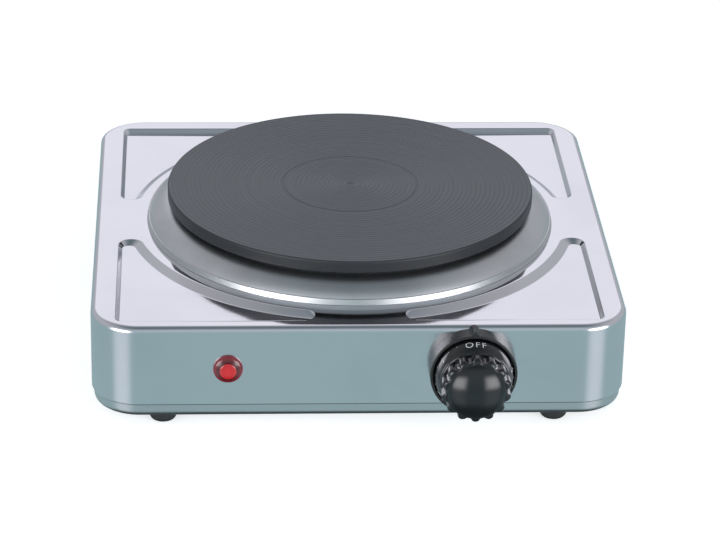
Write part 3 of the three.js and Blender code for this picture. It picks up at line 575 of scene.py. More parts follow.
def bakeModifiers(piece):
    made = evaluatedMesh(piece)
    piece.modifiers.clear()
    old = piece.data
    piece.data = made
    made.name = piece.name
    bpy.data.meshes.remove(old)
    return piece


def cutAway(piece, cutter):
    cut = piece.modifiers.new("cut", "BOOLEAN")
    cut.operation = "DIFFERENCE"
    cut.solver = "EXACT"
    cut.object = cutter
    bakeModifiers(piece)
    bpy.data.objects.remove(cutter)


# Sides and caps of a prism between two outlines of count points.
def prismFaces(count):
    sides = [(j, (j + 1) % count, count + (j + 1) % count, count + j) for j in range(count)]
    return sides + [tuple(range(count)), tuple(reversed(range(count, 2 * count)))]


# Round holes along Y, each (x, z, radius, wall).
def cutHoles(piece, holes, steps=40):
    vertices, faces = [], []
    for x, z, radius, wall in holes:
        outlines = [
            (x + radius * math.cos(angle), y, z + radius * math.sin(angle))
            for y in (wall - cutHalf, wall + cutHalf) for angle in turns(steps)
        ]
        join(vertices, faces, outlines, prismFaces(steps))
    cutAway(piece, meshObject("holeCutter", vertices, faces, piece.data.materials[0]))
    smoothed(piece.data)


# Closed ring of points round a rounded rectangle. Points crowd near the ends of the straights,
# so that a flat stays flat right up to its corner.
def rectangleRing(width, depth, corner, level, cornerSteps=20, hold=0.6 * mm, straightSteps=6):
    x, y = width / 2 - corner, depth / 2 - corner
    middles = ((x, y), (-x, y), (-x, -y), (x, -y))
    arcs = [arcPoints(*m, corner, k * quarter, (k + 1) * quarter, cornerSteps) for k, m in enumerate(middles)]
    ring = []
    for here, there in zip(arcs, arcs[1:] + arcs[:1]):
        start, end = here[-1], there[0]
        along = (end - start).normalized()
        span = (end - start).length - 2 * hold
        ring += here + [start + along * (hold + span * i / straightSteps) for i in range(straightSteps + 1)]
    return [Vector((centreX + p.x, centreY + p.y, level)) for p in ring]


class SkinBuilder:
    # Collects rings of points, the bands between them and the flats that have holes.
    def __init__(self):
        self.vertices = []
        self.faces = []

    def ring(self, points):
        start = len(self.vertices)
        self.vertices += points
        return list(range(start, start + len(points)))

    def band(self, first, second):
        for j in range(len(first)):
            k = (j + 1) % len(first)
            self.faces.append((first[j], first[k], second[k], second[j]))

    def bands(self, rings):
        for first, second in zip(rings, rings[1:]):
            self.band(first, second)
    # The skin of a rounded box from (draw-in, level) pairs.
    def profile(self, width, depth, corner, inset, pairs):
        rings = []
        for drawn, level in pairs:
            pull = inset + drawn
            rings.append(self.ring(rectangleRing(width - 2 * pull, depth - 2 * pull, corner - pull, level)))
        self.bands(rings)
        return rings

    def flat(self, rings):
        order = [index for ring in rings for index in ring]
        loops = [[Vector((self.vertices[i].x, self.vertices[i].y, 0)) for i in ring] for ring in rings]
        self.faces += [tuple(order[i] for i in triangle) for triangle in tessellate_polygon(loops)]


# Housing shell.

shell = {
    "corner": 24 * mm,
    "edge": 3 * mm,
    "edgeSteps": 9,
    "sheet": 0.8 * mm,
    "hold": 0.5 * mm,  # flat strip kept beside each rounding
    "hemRoll": 0.6 * mm,  # the lower edge turns in by this much
    "hole": skirtRadius + 2.8 * mm,
    "lampHole": 5.6 * mm,
    "spindleHole": 4 * mm,
    "glandHole": 6.9 * mm,
    "sideMargin": 12 * mm,
    "arcGap": 5.8 * mm,
    "panelDepth": 2.2 * mm,
    "slope": 2.3 * mm,
    "arcSlope": 6.5 * mm,
    "panelCorner": 4 * mm,
    "hookShare": 0.72,
    "taperStart": 0.3,  # the arc's wall starts to narrow at this share of its length from the tip
    "easeIn": 0.14,  # share of a wall that is rounding, at its lip and at its foot
    "easeOut": 0.16,
    "wallSteps": 14,
    "endSteps": 16,  # points round a hook or a tip
    "sideSteps": 8,
    "cornerSteps": 7,
    "arcSteps": 48,
}
panelPairs = [
    {"side": -1, "margin": 7.5 * mm, "hook": 2.4 * mm, "tip": 1.8 * mm, "floorTip": 1.5 * mm},
    {"side": 1, "margin": 11 * mm, "hook": 1.7 * mm, "tip": 1.5 * mm, "floorTip": 0.8 * mm},
]


# One quarter's panel: its lip and its floor, point for point, and the way outwards at the lip.
def panelOutlines(pair):
    sideX = (shellHigh.x - shellLow.x) / 2 - shell["sideMargin"]
    lineY = (shellHigh.y - shellLow.y) / 2 - pair["margin"]
    bend = spillRadius + shell["arcGap"]
    slope, corner = shell["slope"], shell["panelCorner"]
    endSteps, sideSteps, cornerSteps, arcSteps = (
        shell[key] for key in ("endSteps", "sideSteps", "cornerSteps", "arcSteps")
    )
    hook = (sideX - bend) / 2 + pair["hook"]
    hookX = sideX - hook
    hookY = math.sqrt((bend + hook) ** 2 - hookX ** 2)
    hookAngle = math.atan2(hookY, hookX)
    hookWidth = shell["hookShare"] * hook  # the wall is this wide where the hook meets the arc
    lip, floor, outward = [], [], []

    def put(point, direction, width):
        lip.append(point)
        floor.append(point - direction * width)
        outward.append(direction)

    for i in range(endSteps + 1):
        share = i / endSteps
        angle = lerp(math.pi + hookAngle, 2 * math.pi, share)
        direction = directionAt(angle)
        put(Vector((hookX, hookY)) + direction * hook, direction, lerp(hookWidth, slope, smoothStep(share)))
    for point in evenly(lip[-1], Vector((sideX, lineY - corner)), sideSteps):
        put(point, Vector((1, 0)), slope)
    for i in range(cornerSteps + 1):
        direction = directionAt(quarter * i / cornerSteps)
        put(Vector((sideX - corner, lineY - corner)) + direction * corner, direction, slope)

    # the tip and the start of the arc: the floor has a round end of its own
    def tipOf(line, arc, radius):
        y = line - radius
        x = math.sqrt((arc + radius) ** 2 - y ** 2)
        return Vector((x, y)), radius, math.atan2(y, x)

    lipTip = tipOf(lineY, bend, (lineY - bend) / 2 + pair["tip"])
    floorTip = tipOf(lineY - slope, bend + shell["arcSlope"], pair["floorTip"])
    for i in range(1, sideSteps):
        share = i / sideSteps
        lip.append(Vector((lerp(sideX - corner, lipTip[0].x, share), lineY)))
        floor.append(Vector((lerp(sideX - corner, floorTip[0].x, share), lineY - slope)))
        outward.append(Vector((0, 1)))
    for i in range(endSteps + 1):
        ways = []
        for target, (centre, radius, end) in ((lip, lipTip), (floor, floorTip)):
            ways.append(directionAt(lerp(quarter, math.pi + end, i / endSteps)))
            target.append(centre + ways[-1] * radius)
        outward.append(ways[0])
    for i in range(1, arcSteps):
        share = i / arcSteps
        taper = smoothStep((share - shell["taperStart"]) / (1 - shell["taperStart"]))
        lipWay, floorWay = (directionAt(lerp(tip[2], hookAngle, share)) for tip in (lipTip, floorTip))
        lip.append(lipWay * bend)
        floor.append(floorWay * (bend + lerp(shell["arcSlope"], hookWidth, taper)))
        outward.append(-lipWay)
    return lip, floor, outward


# The outline part of the way down the wall: share is 0 at the lip and 1 at the floor.
def panelRing(outlines, pair, hand, share, grow, level):
    points = []
    for lip, floor, outward in zip(*outlines):
        p = lip.lerp(floor, share) + outward * grow
        points.append(Vector((centreX + p.x * hand, centreY + p.y * pair["side"], level)))
    return points if hand * pair["side"] > 0 else points[::-1]


# Depth of the wall at a share of its width: rounded lip, straight slope, rounded foot.
def wallFall(share):
    easeIn, easeOut = shell["easeIn"], shell["easeOut"]
    slope = 1 / (1 - easeIn / 2 - easeOut / 2)
    if share < easeIn:
        return slope * share ** 2 / (2 * easeIn)
    if share > 1 - easeOut:
        return 1 - slope * (1 - share) ** 2 / (2 * easeOut)
    return slope * (share - easeIn / 2)


def shellSide(builder, inset, top, bottomRings):
    width, depth = shellHigh.x - shellLow.x, shellHigh.y - shellLow.y
    edge = shell["edge"] - inset
    wall = bottomRings + [(0, lerp(bottomRings[-1][1], top - edge, 0.5)), (0, top - edge - shell["hold"])]
    for i in range(shell["edgeSteps"] + 1):
        angle = quarter * i / shell["edgeSteps"]
        wall.append((edge * (1 - math.cos(angle)), top - edge + edge * math.sin(angle)))
    wall.append((edge + shell["hold"], top))
    rings = builder.profile(width, depth, shell["corner"], inset, wall)
    holding = [rings[-1]]
    grow = inset / 2
    for pair in panelPairs:
        outlines = panelOutlines(pair)
        for hand in (1, -1):
            lip = builder.ring(panelRing(outlines, pair, hand, 0, grow + shell["hold"], top))
            holding.append(lip)
            walls = [lip]
            for i in range(shell["wallSteps"] + 1):
                share = i / shell["wallSteps"]
                level = top - shell["panelDepth"] * wallFall(share)
                walls.append(builder.ring(panelRing(outlines, pair, hand, share, grow, level)))
            builder.bands(walls)
            builder.flat([walls[-1]])
    hole = builder.ring([upright(shell["hole"], angle, top) for angle in turns(128)])
    builder.flat(holding + [hole])
    return rings[0], hole


def makeShell():
    builder = SkinBuilder()
    seam, roll = shellLow.z, shell["hemRoll"]
    outer = [(roll, seam), (roll * 0.3, seam + roll * 0.3), (0, seam + roll), (0, seam + roll + shell["hold"])]
    inner = [(-roll * 0.2, seam), (0, seam + roll)]
    outerFoot, outerHole = shellSide(builder, 0, shellTop, outer)
    innerFoot, innerHole = shellSide(builder, shell["sheet"], shellTop - shell["sheet"], inner)
    builder.band(innerFoot, outerFoot)
    builder.band(outerHole, innerHole)
    piece = meshObject("shellSkin", builder.vertices, builder.faces, finishes["polished_steel"])
    cutHoles(piece, [
        (lensX, lensZ, shell["lampHole"], frontFace),
        (knobX, knobZ, shell["spindleHole"], frontFace),
        *((x, z, screwHole, frontFace) for x, z in screwSpots),
        (glandX, glandZ, shell["glandHole"], backFace),
    ])
    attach(piece, "housing")
    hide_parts("top_shell")
    return piece


shellSkin = makeShell()
print("housing shell:", len(shellSkin.data.polygons), "faces")


# Base pan.

basePan = {
    "corner": 22.8 * mm,
    "edge": 3.5 * mm,
    "edgeSteps": 8,
    "sheet": 0.8 * mm,
    "hold": 0.5 * mm,
    "ventLength": 34 * mm,
    "ventWidth": 3.2 * mm,
    "ventPitch": 11 * mm,
    "ventCount": 5,
    "ventStart": 12 * mm,  # from the middle line to the near end of a slot
    "footHole": 2.2 * mm,
    "floorHole": 1.8 * mm,
}

footCorners = ["front_left", "front_right", "back_left", "back_right"]
floorScrewNodes = ["cord_clamp_screw_left", "cord_clamp_screw_right", "earth_screw", "mains_block_screw"]


def ventRings(builder, level):
    rings = []
    radius = basePan["ventWidth"] / 2
    straight = basePan["ventLength"] / 2 - radius
    for side in (-1, 1):
        for i in range(basePan["ventCount"]):
            x = centreX + (i - (basePan["ventCount"] - 1) / 2) * basePan["ventPitch"]
            y = centreY + side * (basePan["ventStart"] + basePan["ventLength"] / 2)
            points = arcPoints(x, y + straight, radius, 0, math.pi, 10)
            points += arcPoints(x, y - straight, radius, math.pi, 2 * math.pi, 10)
            rings.append(builder.ring([Vector((p.x, p.y, level)) for p in points]))
    return rings


def screwHoleRings(builder, level):
    screws = [("foot_screw_" + corner, basePan["footHole"]) for corner in footCorners]
    screws += [(nodeName, basePan["floorHole"]) for nodeName in floorScrewNodes]
    rings = []
    for nodeName, radius in screws:
        low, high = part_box(nodeName)
        points = arcPoints((low.x + high.x) / 2, (low.y + high.y) / 2, radius, 0, 2 * math.pi, 20)[:-1]
        rings.append(builder.ring([Vector((p.x, p.y, level)) for p in points]))
    return rings


def panSide(builder, inset):
    width, depth = panHigh.x - panLow.x, panHigh.y - panLow.y
    edge = basePan["edge"] - inset
    floor = panLow.z + inset
    profile = [(0, panHigh.z), (0, floor + edge + basePan["hold"])]
    for i in range(basePan["edgeSteps"] + 1):
        angle = quarter * i / basePan["edgeSteps"]
        profile.append((edge * (1 - math.cos(angle)), floor + edge * (1 - math.sin(angle))))
    profile.append((edge + basePan["hold"], floor))
    rings = builder.profile(width, depth, basePan["corner"], inset, profile)
    holes = ventRings(builder, floor) + screwHoleRings(builder, floor)
    builder.flat([rings[-1]] + holes)
    return rings[0], holes


def makeBasePan():
    builder = SkinBuilder()
    outerTop, outerHoles = panSide(builder, 0)
    innerTop, innerHoles = panSide(builder, basePan["sheet"])
    builder.band(outerTop, innerTop)
    for outerHole, innerHole in zip(outerHoles, innerHoles):
        builder.band(outerHole, innerHole)
    piece = meshObject("basePanSkin", builder.vertices, builder.faces, finishes["base_steel"])
    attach(piece, "housing")
    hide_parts("base_pan")
    return piece


basePanSkin = makeBasePan()
print("base pan:", len(basePanSkin.data.polygons), "faces")


# Spill ring.

ring = {
    "steps": 224,
    "shoulder": 3.2 * mm,  # flat land beside the plate's skirt
    "sheet": 0.7 * mm,
    "curveSteps": 22,
    "lift": 0.1 * mm,
    "flange": 2.9 * mm,
    "flangeLean": 0.7 * mm,
    "ridgeWidth": 0.6 * mm,
    "archStart": 25,  # degrees up the ellipse where the arch leaves the ridge
}


def makeSpillRing():
    outer = spillRadius
    inner = skirtRadius + 0.4 * mm
    land = inner + ring["shoulder"]
    foot, crown = shellTop + ring["lift"], ringHigh.z

    # a flange stands on the sheet, then a small ridge, then the arch up to the land
    ridge, ridgeLevel = outer - ring["flangeLean"], foot + ring["flange"]
    start = math.radians(ring["archStart"])
    rise = (crown - ridgeLevel) / (1 - math.sin(start))

    def arch(pull, steps):
        points = []
        for i in range(steps + 1):
            angle = start + (quarter - start) * i / steps
            across = (ridge - ring["ridgeWidth"] - pull - land) * math.cos(angle) / math.cos(start)
            points.append((land + across, crown - pull - rise * (1 - math.sin(angle))))
        return points

    sheet = ring["sheet"]
    rows = softened([
        (outer - sheet, foot, 0),
        (outer, foot, 0.1 * mm),
        (ridge, ridgeLevel, 0.3 * mm),
        (ridge - ring["ridgeWidth"], ridgeLevel + 0.1 * mm, 0.2 * mm),
    ])[:-1]
    rows += arch(0, ring["curveSteps"])
    rows += [(inner + 0.6 * mm, crown), (inner + 0.15 * mm, crown - 0.15 * mm), (inner, crown - 0.6 * mm)]
    rows += [(inner, ringLow.z), (inner + sheet, ringLow.z)]
    rows += [(inner + sheet, crown - sheet - 0.2 * mm)]
    rows += arch(sheet, ring["curveSteps"] - 8)[::-1]
    rows += [(ridge - sheet, ridgeLevel - sheet)]
    piece = turnedPiece("spillRingTurned", rows, ring["steps"], upright, finishes["ring_steel"], closed=True)
    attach(piece, "housing")
    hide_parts("spill_ring")
    return piece


spillRing = makeSpillRing()
print("spill ring:", len(spillRing.data.polygons), "faces")


# Helpers for Geometry Nodes.

# Starts a tree. Its inputs are given as kind: labels.
def newGeometryTree(name, inputs):
    tree = bpy.data.node_groups.new(name, "GeometryNodeTree")
    for way in ("INPUT", "OUTPUT"):
        tree.interface.new_socket("Geometry", in_out=way, socket_type="NodeSocketGeometry")
    for kind, labels in inputs.items():
        for label in labels:
            tree.interface.new_socket(label, in_out="INPUT", socket_type="NodeSocket" + kind)
    return tree, tree.nodes.new("NodeGroupInput").outputs


def endTree(tree, geometry, given):
    real = addNode(tree, "GeometryNodeRealizeInstances", {"Geometry": geometry}).outputs["Geometry"]
    paint = addNode(tree, "GeometryNodeSetMaterial", {"Geometry": real, "Material": given["Material"]})
    addNode(tree, "NodeGroupOutput", {"Geometry": paint.outputs["Geometry"]})
    return tree


def vectorOf(tree, **parts):
    return addNode(tree, "ShaderNodeCombineXYZ", parts).outputs["Vector"]


# Runs a tree on a piece with these input values, and keeps the result as a plain mesh.
def grow(name, tree, values, startMesh=None):
    piece = addObject(name, startMesh or bpy.data.meshes.new(name))
    modifier = piece.modifiers.new(tree.name, "NODES")
    modifier.node_group = tree
    for item in tree.interface.items_tree:
        if item.item_type == "SOCKET" and item.in_out == "INPUT" and item.name in values:
            modifier[item.identifier] = values[item.name]
    return bakeModifiers(piece)


# Cast plate.

plate = {
    "grooveCount": 39,
    "samplesPerGroove": 6,
    "grooveDepth": 0.27 * mm,
    "innerCircle": 35 * mm,  # a deeper line round the middle
    "innerDepth": 0.3 * mm,
    "dimpleDepth": 0.5 * mm,
    "dimpleRadius": 2.2 * mm,
    "plainEdge": 1.2 * mm,
    "steps": 256,
    "chamfer": 0.9 * mm,
    "rim": 6.5 * mm,
    "web": 7.4 * mm,
    "skirtWall": 5.2 * mm,
    "shoulder": 2.8 * mm,
    "hub": 12 * mm,
    "studHole": 3.3 * mm,
    "studDepth": 4.5 * mm,
}


# The face: a grid bent into a disc, its height a wave over the distance from the centre.
def makeGroovedFaceTree():
    tree, given = newGeometryTree("groovedFace", {
        "Float": ["Radius", "Level", "Centre X", "Centre Y", "Groove Pitch", "Groove Depth", "Inner Circle",
                  "Inner Depth", "Dimple Radius", "Dimple Depth", "Plain Edge"],
        "Int": ["Radial Rings", "Angular Points"],
        "Material": ["Material"],
    })

    def calc(*inputs):
        return mathNode(tree, *inputs)

    # 1 at zero, falling away smoothly over this width
    def bell(value, width):
        share = calc("ABSOLUTE", calc("DIVIDE", value, width))
        return calc("EXPONENT", calc("MULTIPLY", calc("POWER", share, 2.0), -1.0))

    grid = addNode(tree, "GeometryNodeMeshGrid", {
        "Size X": 1.0,
        "Size Y": 1.0,
        "Vertices X": given["Radial Rings"],
        "Vertices Y": given["Angular Points"],
    })
    place = tree.nodes.new("GeometryNodeInputPosition").outputs["Position"]
    split = addNode(tree, "ShaderNodeSeparateXYZ", {"Vector": place}).outputs
    radius = calc("MULTIPLY", calc("ADD", split["X"], 0.5), given["Radius"])
    angle = calc("MULTIPLY", calc("ADD", split["Y"], 0.5), 2 * math.pi)
    phase = calc("MULTIPLY", calc("DIVIDE", radius, given["Groove Pitch"]), 2 * math.pi)
    wave = calc("MULTIPLY", calc("SUBTRACT", 1.0, calc("COSINE", phase)), 0.5)
    fromEdge = calc("DIVIDE", calc("SUBTRACT", given["Radius"], radius), given["Plain Edge"])
    inside = calc("MINIMUM", calc("MAXIMUM", fromEdge, 0.0), 1.0)
    grooves = calc("MULTIPLY", calc("MULTIPLY", wave, given["Groove Depth"]), inside)
    line = bell(calc("SUBTRACT", radius, given["Inner Circle"]), calc("MULTIPLY", given["Groove Pitch"], 0.4))
    cut = calc("ADD", grooves, calc("MULTIPLY", line, given["Inner Depth"]))
    cut = calc("ADD", cut, calc("MULTIPLY", bell(radius, given["Dimple Radius"]), given["Dimple Depth"]))
    point = vectorOf(
        tree,
        X=calc("MULTIPLY_ADD", radius, calc("COSINE", angle), given["Centre X"]),
        Y=calc("MULTIPLY_ADD", radius, calc("SINE", angle), given["Centre Y"]),
        Z=calc("SUBTRACT", given["Level"], cut),
    )
    bend = addNode(tree, "GeometryNodeSetPosition", {"Geometry": grid.outputs["Mesh"], "Position": point})
    merging = {"Geometry": bend.outputs["Geometry"], "Distance": 1e-6}
    merge = addNode(tree, "GeometryNodeMergeByDistance", merging)
    return endTree(tree, merge.outputs["Geometry"], given)


def makePlate():
    outer, top = plateRadius, plateHigh.z
    faceRadius = outer - plate["chamfer"]
    face = grow("groovedFace", makeGroovedFaceTree(), {
        "Radius": faceRadius,
        "Level": top,
        "Centre X": centreX,
        "Centre Y": centreY,
        "Radial Rings": plate["grooveCount"] * plate["samplesPerGroove"] + 1,
        "Angular Points": plate["steps"] + 1,
        "Groove Pitch": faceRadius / plate["grooveCount"],
        "Groove Depth": plate["grooveDepth"],
        "Inner Circle": plate["innerCircle"],
        "Inner Depth": plate["innerDepth"],
        "Dimple Radius": plate["dimpleRadius"],
        "Dimple Depth": plate["dimpleDepth"],
        "Plain Edge": plate["plainEdge"],
        "Material": finishes["cast_iron"],
    })
    under = top - plate["rim"]
    skirt = skirtRadius
    skirtWall = skirt - plate["skirtWall"]
    web = top - plate["web"]
    shoulder = skirt + plate["shoulder"]
    ringTop = ringHigh.z + 0.1 * mm
    rows = softened([
        (faceRadius, top, 0),
        (faceRadius + 0.05 * mm, top, 0),
        (faceRadius + 0.35 * mm, top - 0.1 * mm, 0.15 * mm),
        (outer, top - plate["chamfer"], 0.4 * mm),
        (outer, under + 0.3 * mm, 0.8 * mm),
        (outer - 1.0 * mm, under, 0.3 * mm),
        (shoulder, under, 0),
        (shoulder, ringTop, 0.2 * mm),
        (skirt, ringTop, 0),
        (skirt, plateLow.z, 0.4 * mm),
        (skirtWall, plateLow.z, 0.4 * mm),
        (skirtWall, web, 1.2 * mm),
        (plate["hub"], web, 1.2 * mm),
        (plate["hub"], plateLow.z, 0.4 * mm),
        (plate["studHole"], plateLow.z, 0.3 * mm),
        (plate["studHole"], top - plate["studDepth"], 0),
        (0, top - plate["studDepth"], 0),
    ])
    vertices, faces = radialSurface(rows, turns(plate["steps"]), upright)
    joinObject(vertices, faces, face)
    piece = meshObject("castPlate", vertices, faces, finishes["cast_iron"], sharpAngle=40)
    closePoles(piece)
    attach(piece, "housing")
    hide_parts("hot_plate")
    return piece


castPlate = makePlate()
print("cast plate:", len(castPlate.data.polygons), "faces")


# Knob collar.

collar = {
    "radius": 21.2 * mm,
    "depth": 8.5 * mm,
    "wall": 1.4 * mm,
    "floor": 1.5 * mm,
    "hole": 6 * mm,
    "pointerWidth": 5 * mm,
    "pointerRise": 2 * mm,
    "steps": 200,
    "pointerSteps": 40,  # extra points round the pointer
}


def pointerRadius(base, width, rise):
    nose = width / 2  # radius of the pointer's round end
    centre = collar["radius"] + rise - nose

    def radius(angle):
        across = centre * math.sin(angle)
        if math.cos(angle) < 0 or abs(across) >= nose:
            return base
        return max(base, centre * math.cos(angle) + math.sqrt(nose ** 2 - across ** 2))
    return radius


def makeCollar():
    half = collar["pointerWidth"] * 0.62 / collar["radius"]
    angles = [-half + 2 * half * j / collar["pointerSteps"] for j in range(collar["pointerSteps"])]
    angles += [half + (2 * math.pi - 2 * half) * j / collar["steps"] for j in range(collar["steps"])]
    radius, depth, wall = collar["radius"], collar["depth"], collar["wall"]
    width, rise = collar["pointerWidth"], collar["pointerRise"]
    lip, start = 0.5 * mm, 0.1 * mm
    outline = pointerRadius(radius, width, rise)
    rows = [(collar["hole"], start), (radius - wall, start), (outline, start), (outline, 0.3 * mm)]
    rows.append((outline, depth - lip - 0.3 * mm))
    for i in range(7):
        angle = quarter * i / 6
        pull = lip * (1 - math.cos(angle))
        outline = pointerRadius(radius - pull, width - 2 * pull, rise - pull)
        rows.append((outline, depth - lip * (1 - math.sin(angle))))
    rows += [(radius - wall + 0.2 * mm, depth), (radius - wall, depth - 0.2 * mm)]
    rows += [(radius - wall, collar["floor"] + 0.3 * mm), (radius - wall - 0.3 * mm, collar["floor"])]
    rows.append((collar["hole"], collar["floor"]))
    vertices, faces = radialSurface(rows, angles, outOfWall(knobX, knobZ), closed=True)
    piece = meshObject("collarCup", vertices, faces, finishes["collar_plastic"])
    cutHoles(piece, [(x, z, screwHole, frontFace) for x, z in screwSpots])
    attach(piece, "housing")
    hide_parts("knob_collar")
    return piece


collarCup = makeCollar()
print("collar:", len(collarCup.data.polygons), "faces")


# Knob.

knob = {
    "skirt": 19.1 * mm,
    "back": 3.6 * mm,
    "shoulder": 8.6 * mm,  # the bell starts to draw in here
    "neck": 15.6 * mm,
    "neckRadius": 17.0 * mm,
    "grip": 14.8 * mm,
    "gripEnd": 25.6 * mm,
    "dome": 31.5 * mm,
    "domeShape": 0.72,  # 0.5 gives an ellipse, 1 a parabola
    "lobes": 14,
    "lobeRise": 2.3 * mm,
    "stepsPerLobe": 18,
    "well": [  # the hollow behind, as (radius, reach) from the skirt's edge to the bore
        (16.9 * mm, 3.6 * mm),
        (16.9 * mm, 8.6 * mm),
        (13.8 * mm, 14 * mm),
        (12.6 * mm, 15.5 * mm),
        (12.6 * mm, 25 * mm),
        (5.4 * mm, 26 * mm),
        (5.4 * mm, 3.6 * mm),
        (3.2 * mm, 3.6 * mm),
        (3.2 * mm, 21 * mm),
        (0, 21 * mm),
    ],
    "neckRound": 1.2 * mm,
    "ribRound": 0.5 * mm,  # fillet at a rib's foot
    "crown": 2.6 * mm,  # length over which the ribs end
    "draw": 0.5 * mm,  # the grip draws in by this much under the crown
}


# The bell's radius: a rounded shoulder, then a slope with a slight hollow to the neck.
def bellRadius(reach):
    t = min(1.0, max(0.0, (reach - knob["shoulder"]) / (knob["neck"] - knob["shoulder"])))
    return knob["skirt"] - (knob["skirt"] - knob["neckRadius"]) * (0.15 * t + 0.85 * t ** 2.2)


# Half-round ribs standing on the grip. fade runs from 0, no ribs, to 1, full ribs.
def lobedRadius(base, fade):
    grip, rise, soft = knob["grip"], knob["lobeRise"], knob["ribRound"]
    ribRadius = rise * 0.92
    centre = grip + rise - ribRadius
    pitch = 2 * math.pi / knob["lobes"]

    def radius(angle):
        offset = (angle + pitch / 2) % pitch - pitch / 2
        across = abs(centre * math.sin(offset))
        rib = 0
        if across < ribRadius:
            rib = centre * math.cos(offset) + math.sqrt(ribRadius ** 2 - across ** 2) - grip
        # the foot of each rib runs into the grip in a small fillet
        if fade:
            rib = math.sqrt(max(0, rib) ** 2 + soft ** 2 * math.exp(-max(0, across - ribRadius) / soft))
        return base + min(rib, rise) * fade
    return radius


def makeKnob():
    back, skirt, neck, neckRadius = knob["back"], knob["skirt"], knob["neck"], knob["neckRadius"]
    grip, gripEnd, draw = knob["grip"], knob["gripEnd"], knob["draw"]
    rows = [(skirt - 0.4 * mm, back), (skirt, back + 0.4 * mm), (skirt, knob["shoulder"] - 2.0 * mm)]
    for i in range(15):
        reach = lerp(knob["shoulder"], neck, i / 14)
        rows.append((bellRadius(reach), reach))
    for i in range(1, 7):
        angle = quarter * i / 6
        pull = (neckRadius - grip - 0.6 * mm) * (1 - math.cos(angle))
        rows.append((neckRadius - pull, neck + knob["neckRound"] * math.sin(angle)))
    start = neck + knob["neckRound"]
    for i in range(6):
        t = i / 5
        rows.append((lobedRadius(grip + 0.3 * mm * (1 - t), math.sin(quarter * t)), start + 0.9 * mm * t))
    rows.append((lobedRadius(grip, 1), (start + gripEnd) / 2))
    for i in range(9):
        angle = quarter * i / 8
        fade = max(0.0, math.cos(angle)) ** 0.8
        reach = gripEnd - knob["crown"] + knob["crown"] * math.sin(angle)
        rows.append((lobedRadius(grip - draw * (1 - math.cos(angle)), fade), reach))
    for i in range(1, 17):
        share = math.cos(quarter * i / 16)
        reach = gripEnd + (knob["dome"] - gripEnd) * (1 - share ** 2) ** knob["domeShape"]
        rows.append(((grip - draw) * share, reach))
    angles = turns(knob["lobes"] * knob["stepsPerLobe"])
    vertices, faces = radialSurface(knob["well"][::-1] + rows, angles, outOfWall(knobX, knobZ))
    piece = meshObject("flutedKnob", vertices, faces, finishes["knob_plastic"], sharpAngle=50)
    closePoles(piece)
    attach(piece, "knob_unit")
    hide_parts("knob")
    return piece


flutedKnob = makeKnob()
print("knob:", len(flutedKnob.data.polygons), "faces")


# The print on the knob's bell.

dial = {
    "lift": 0.03 * mm,
    "reach": 12.2 * mm,  # middle of the lettering, in front of the housing
    "offHeight": 3.8 * mm,
    "digitHeight": 3.4 * mm,
    "thinning": 0.012,  # the letters' strokes are drawn in by this share of their height
    "spacing": 1.25,
    "step": 57.0,  # degrees between marks
    "ticksPerStep": 3,
    "tickWidth": 0.35 * mm,
    "tickLength": 1.6 * mm,
    "tickReach": 10.6 * mm,
}


# Flat lettering made a mesh, cut fine enough to follow the bell, then wrapped on it.
def wrappedText(words, height, angle):
    curve = bpy.data.curves.new("dialText", "FONT")
    curve.body = words
    curve.size = height * 1.38
    curve.align_x = "CENTER"
    curve.align_y = "CENTER"
    curve.resolution_u = 4
    curve.offset = -dial["thinning"] * height
    curve.space_character = dial["spacing"]
    letter = addObject("dialText", curve)
    mesh = evaluatedMesh(letter)
    bpy.data.objects.remove(letter)
    work = bmesh.new()
    work.from_mesh(mesh)
    bmesh.ops.triangulate(work, faces=work.faces)
    for _ in range(2):
        longEdges = [e for e in work.edges if e.calc_length() > height * 0.22]
        bmesh.ops.subdivide_edges(work, edges=longEdges, cuts=1)
        bmesh.ops.triangulate(work, faces=work.faces)
    place = outOfWall(knobX, knobZ)
    vertices = []
    for v in work.verts:
        reach = dial["reach"] - v.co.y * 0.93
        radius = bellRadius(reach)
        vertices.append(place(radius + dial["lift"], angle + v.co.x / radius, reach))
    work.verts.index_update()
    faces = [tuple(v.index for v in face.verts) for face in work.faces]
    work.free()
    bpy.data.meshes.remove(mesh)
    return vertices, faces


# Marks along the bell: small bars on an arc, each turned to face outwards.
def makeTickTree():
    tree, given = newGeometryTree("dialTicks", {
        "Int": ["Count"],
        "Float": ["First Angle", "Angle Step", "Radius", "Tilt"],
        "Vector": ["Centre", "Size"],
        "Material": ["Material"],
    })
    index = tree.nodes.new("GeometryNodeInputIndex").outputs[0]
    angle = mathNode(tree, "MULTIPLY_ADD", index, given["Angle Step"], given["First Angle"])
    x = mathNode(tree, "MULTIPLY", mathNode(tree, "SINE", angle), given["Radius"])
    z = mathNode(tree, "MULTIPLY", mathNode(tree, "COSINE", angle), given["Radius"])
    spot = vectorNode(tree, "ADD", vectorOf(tree, X=x, Z=z), given["Centre"])
    place = addNode(tree, "GeometryNodeInstanceOnPoints", {
        "Points": addNode(tree, "GeometryNodePoints", {"Count": given["Count"], "Position": spot}).outputs[0],
        "Instance": addNode(tree, "GeometryNodeMeshCube", {"Size": given["Size"]}).outputs["Mesh"],
        "Rotation": vectorOf(tree, X=given["Tilt"], Y=angle),
    })
    return endTree(tree, place.outputs["Instances"], given)


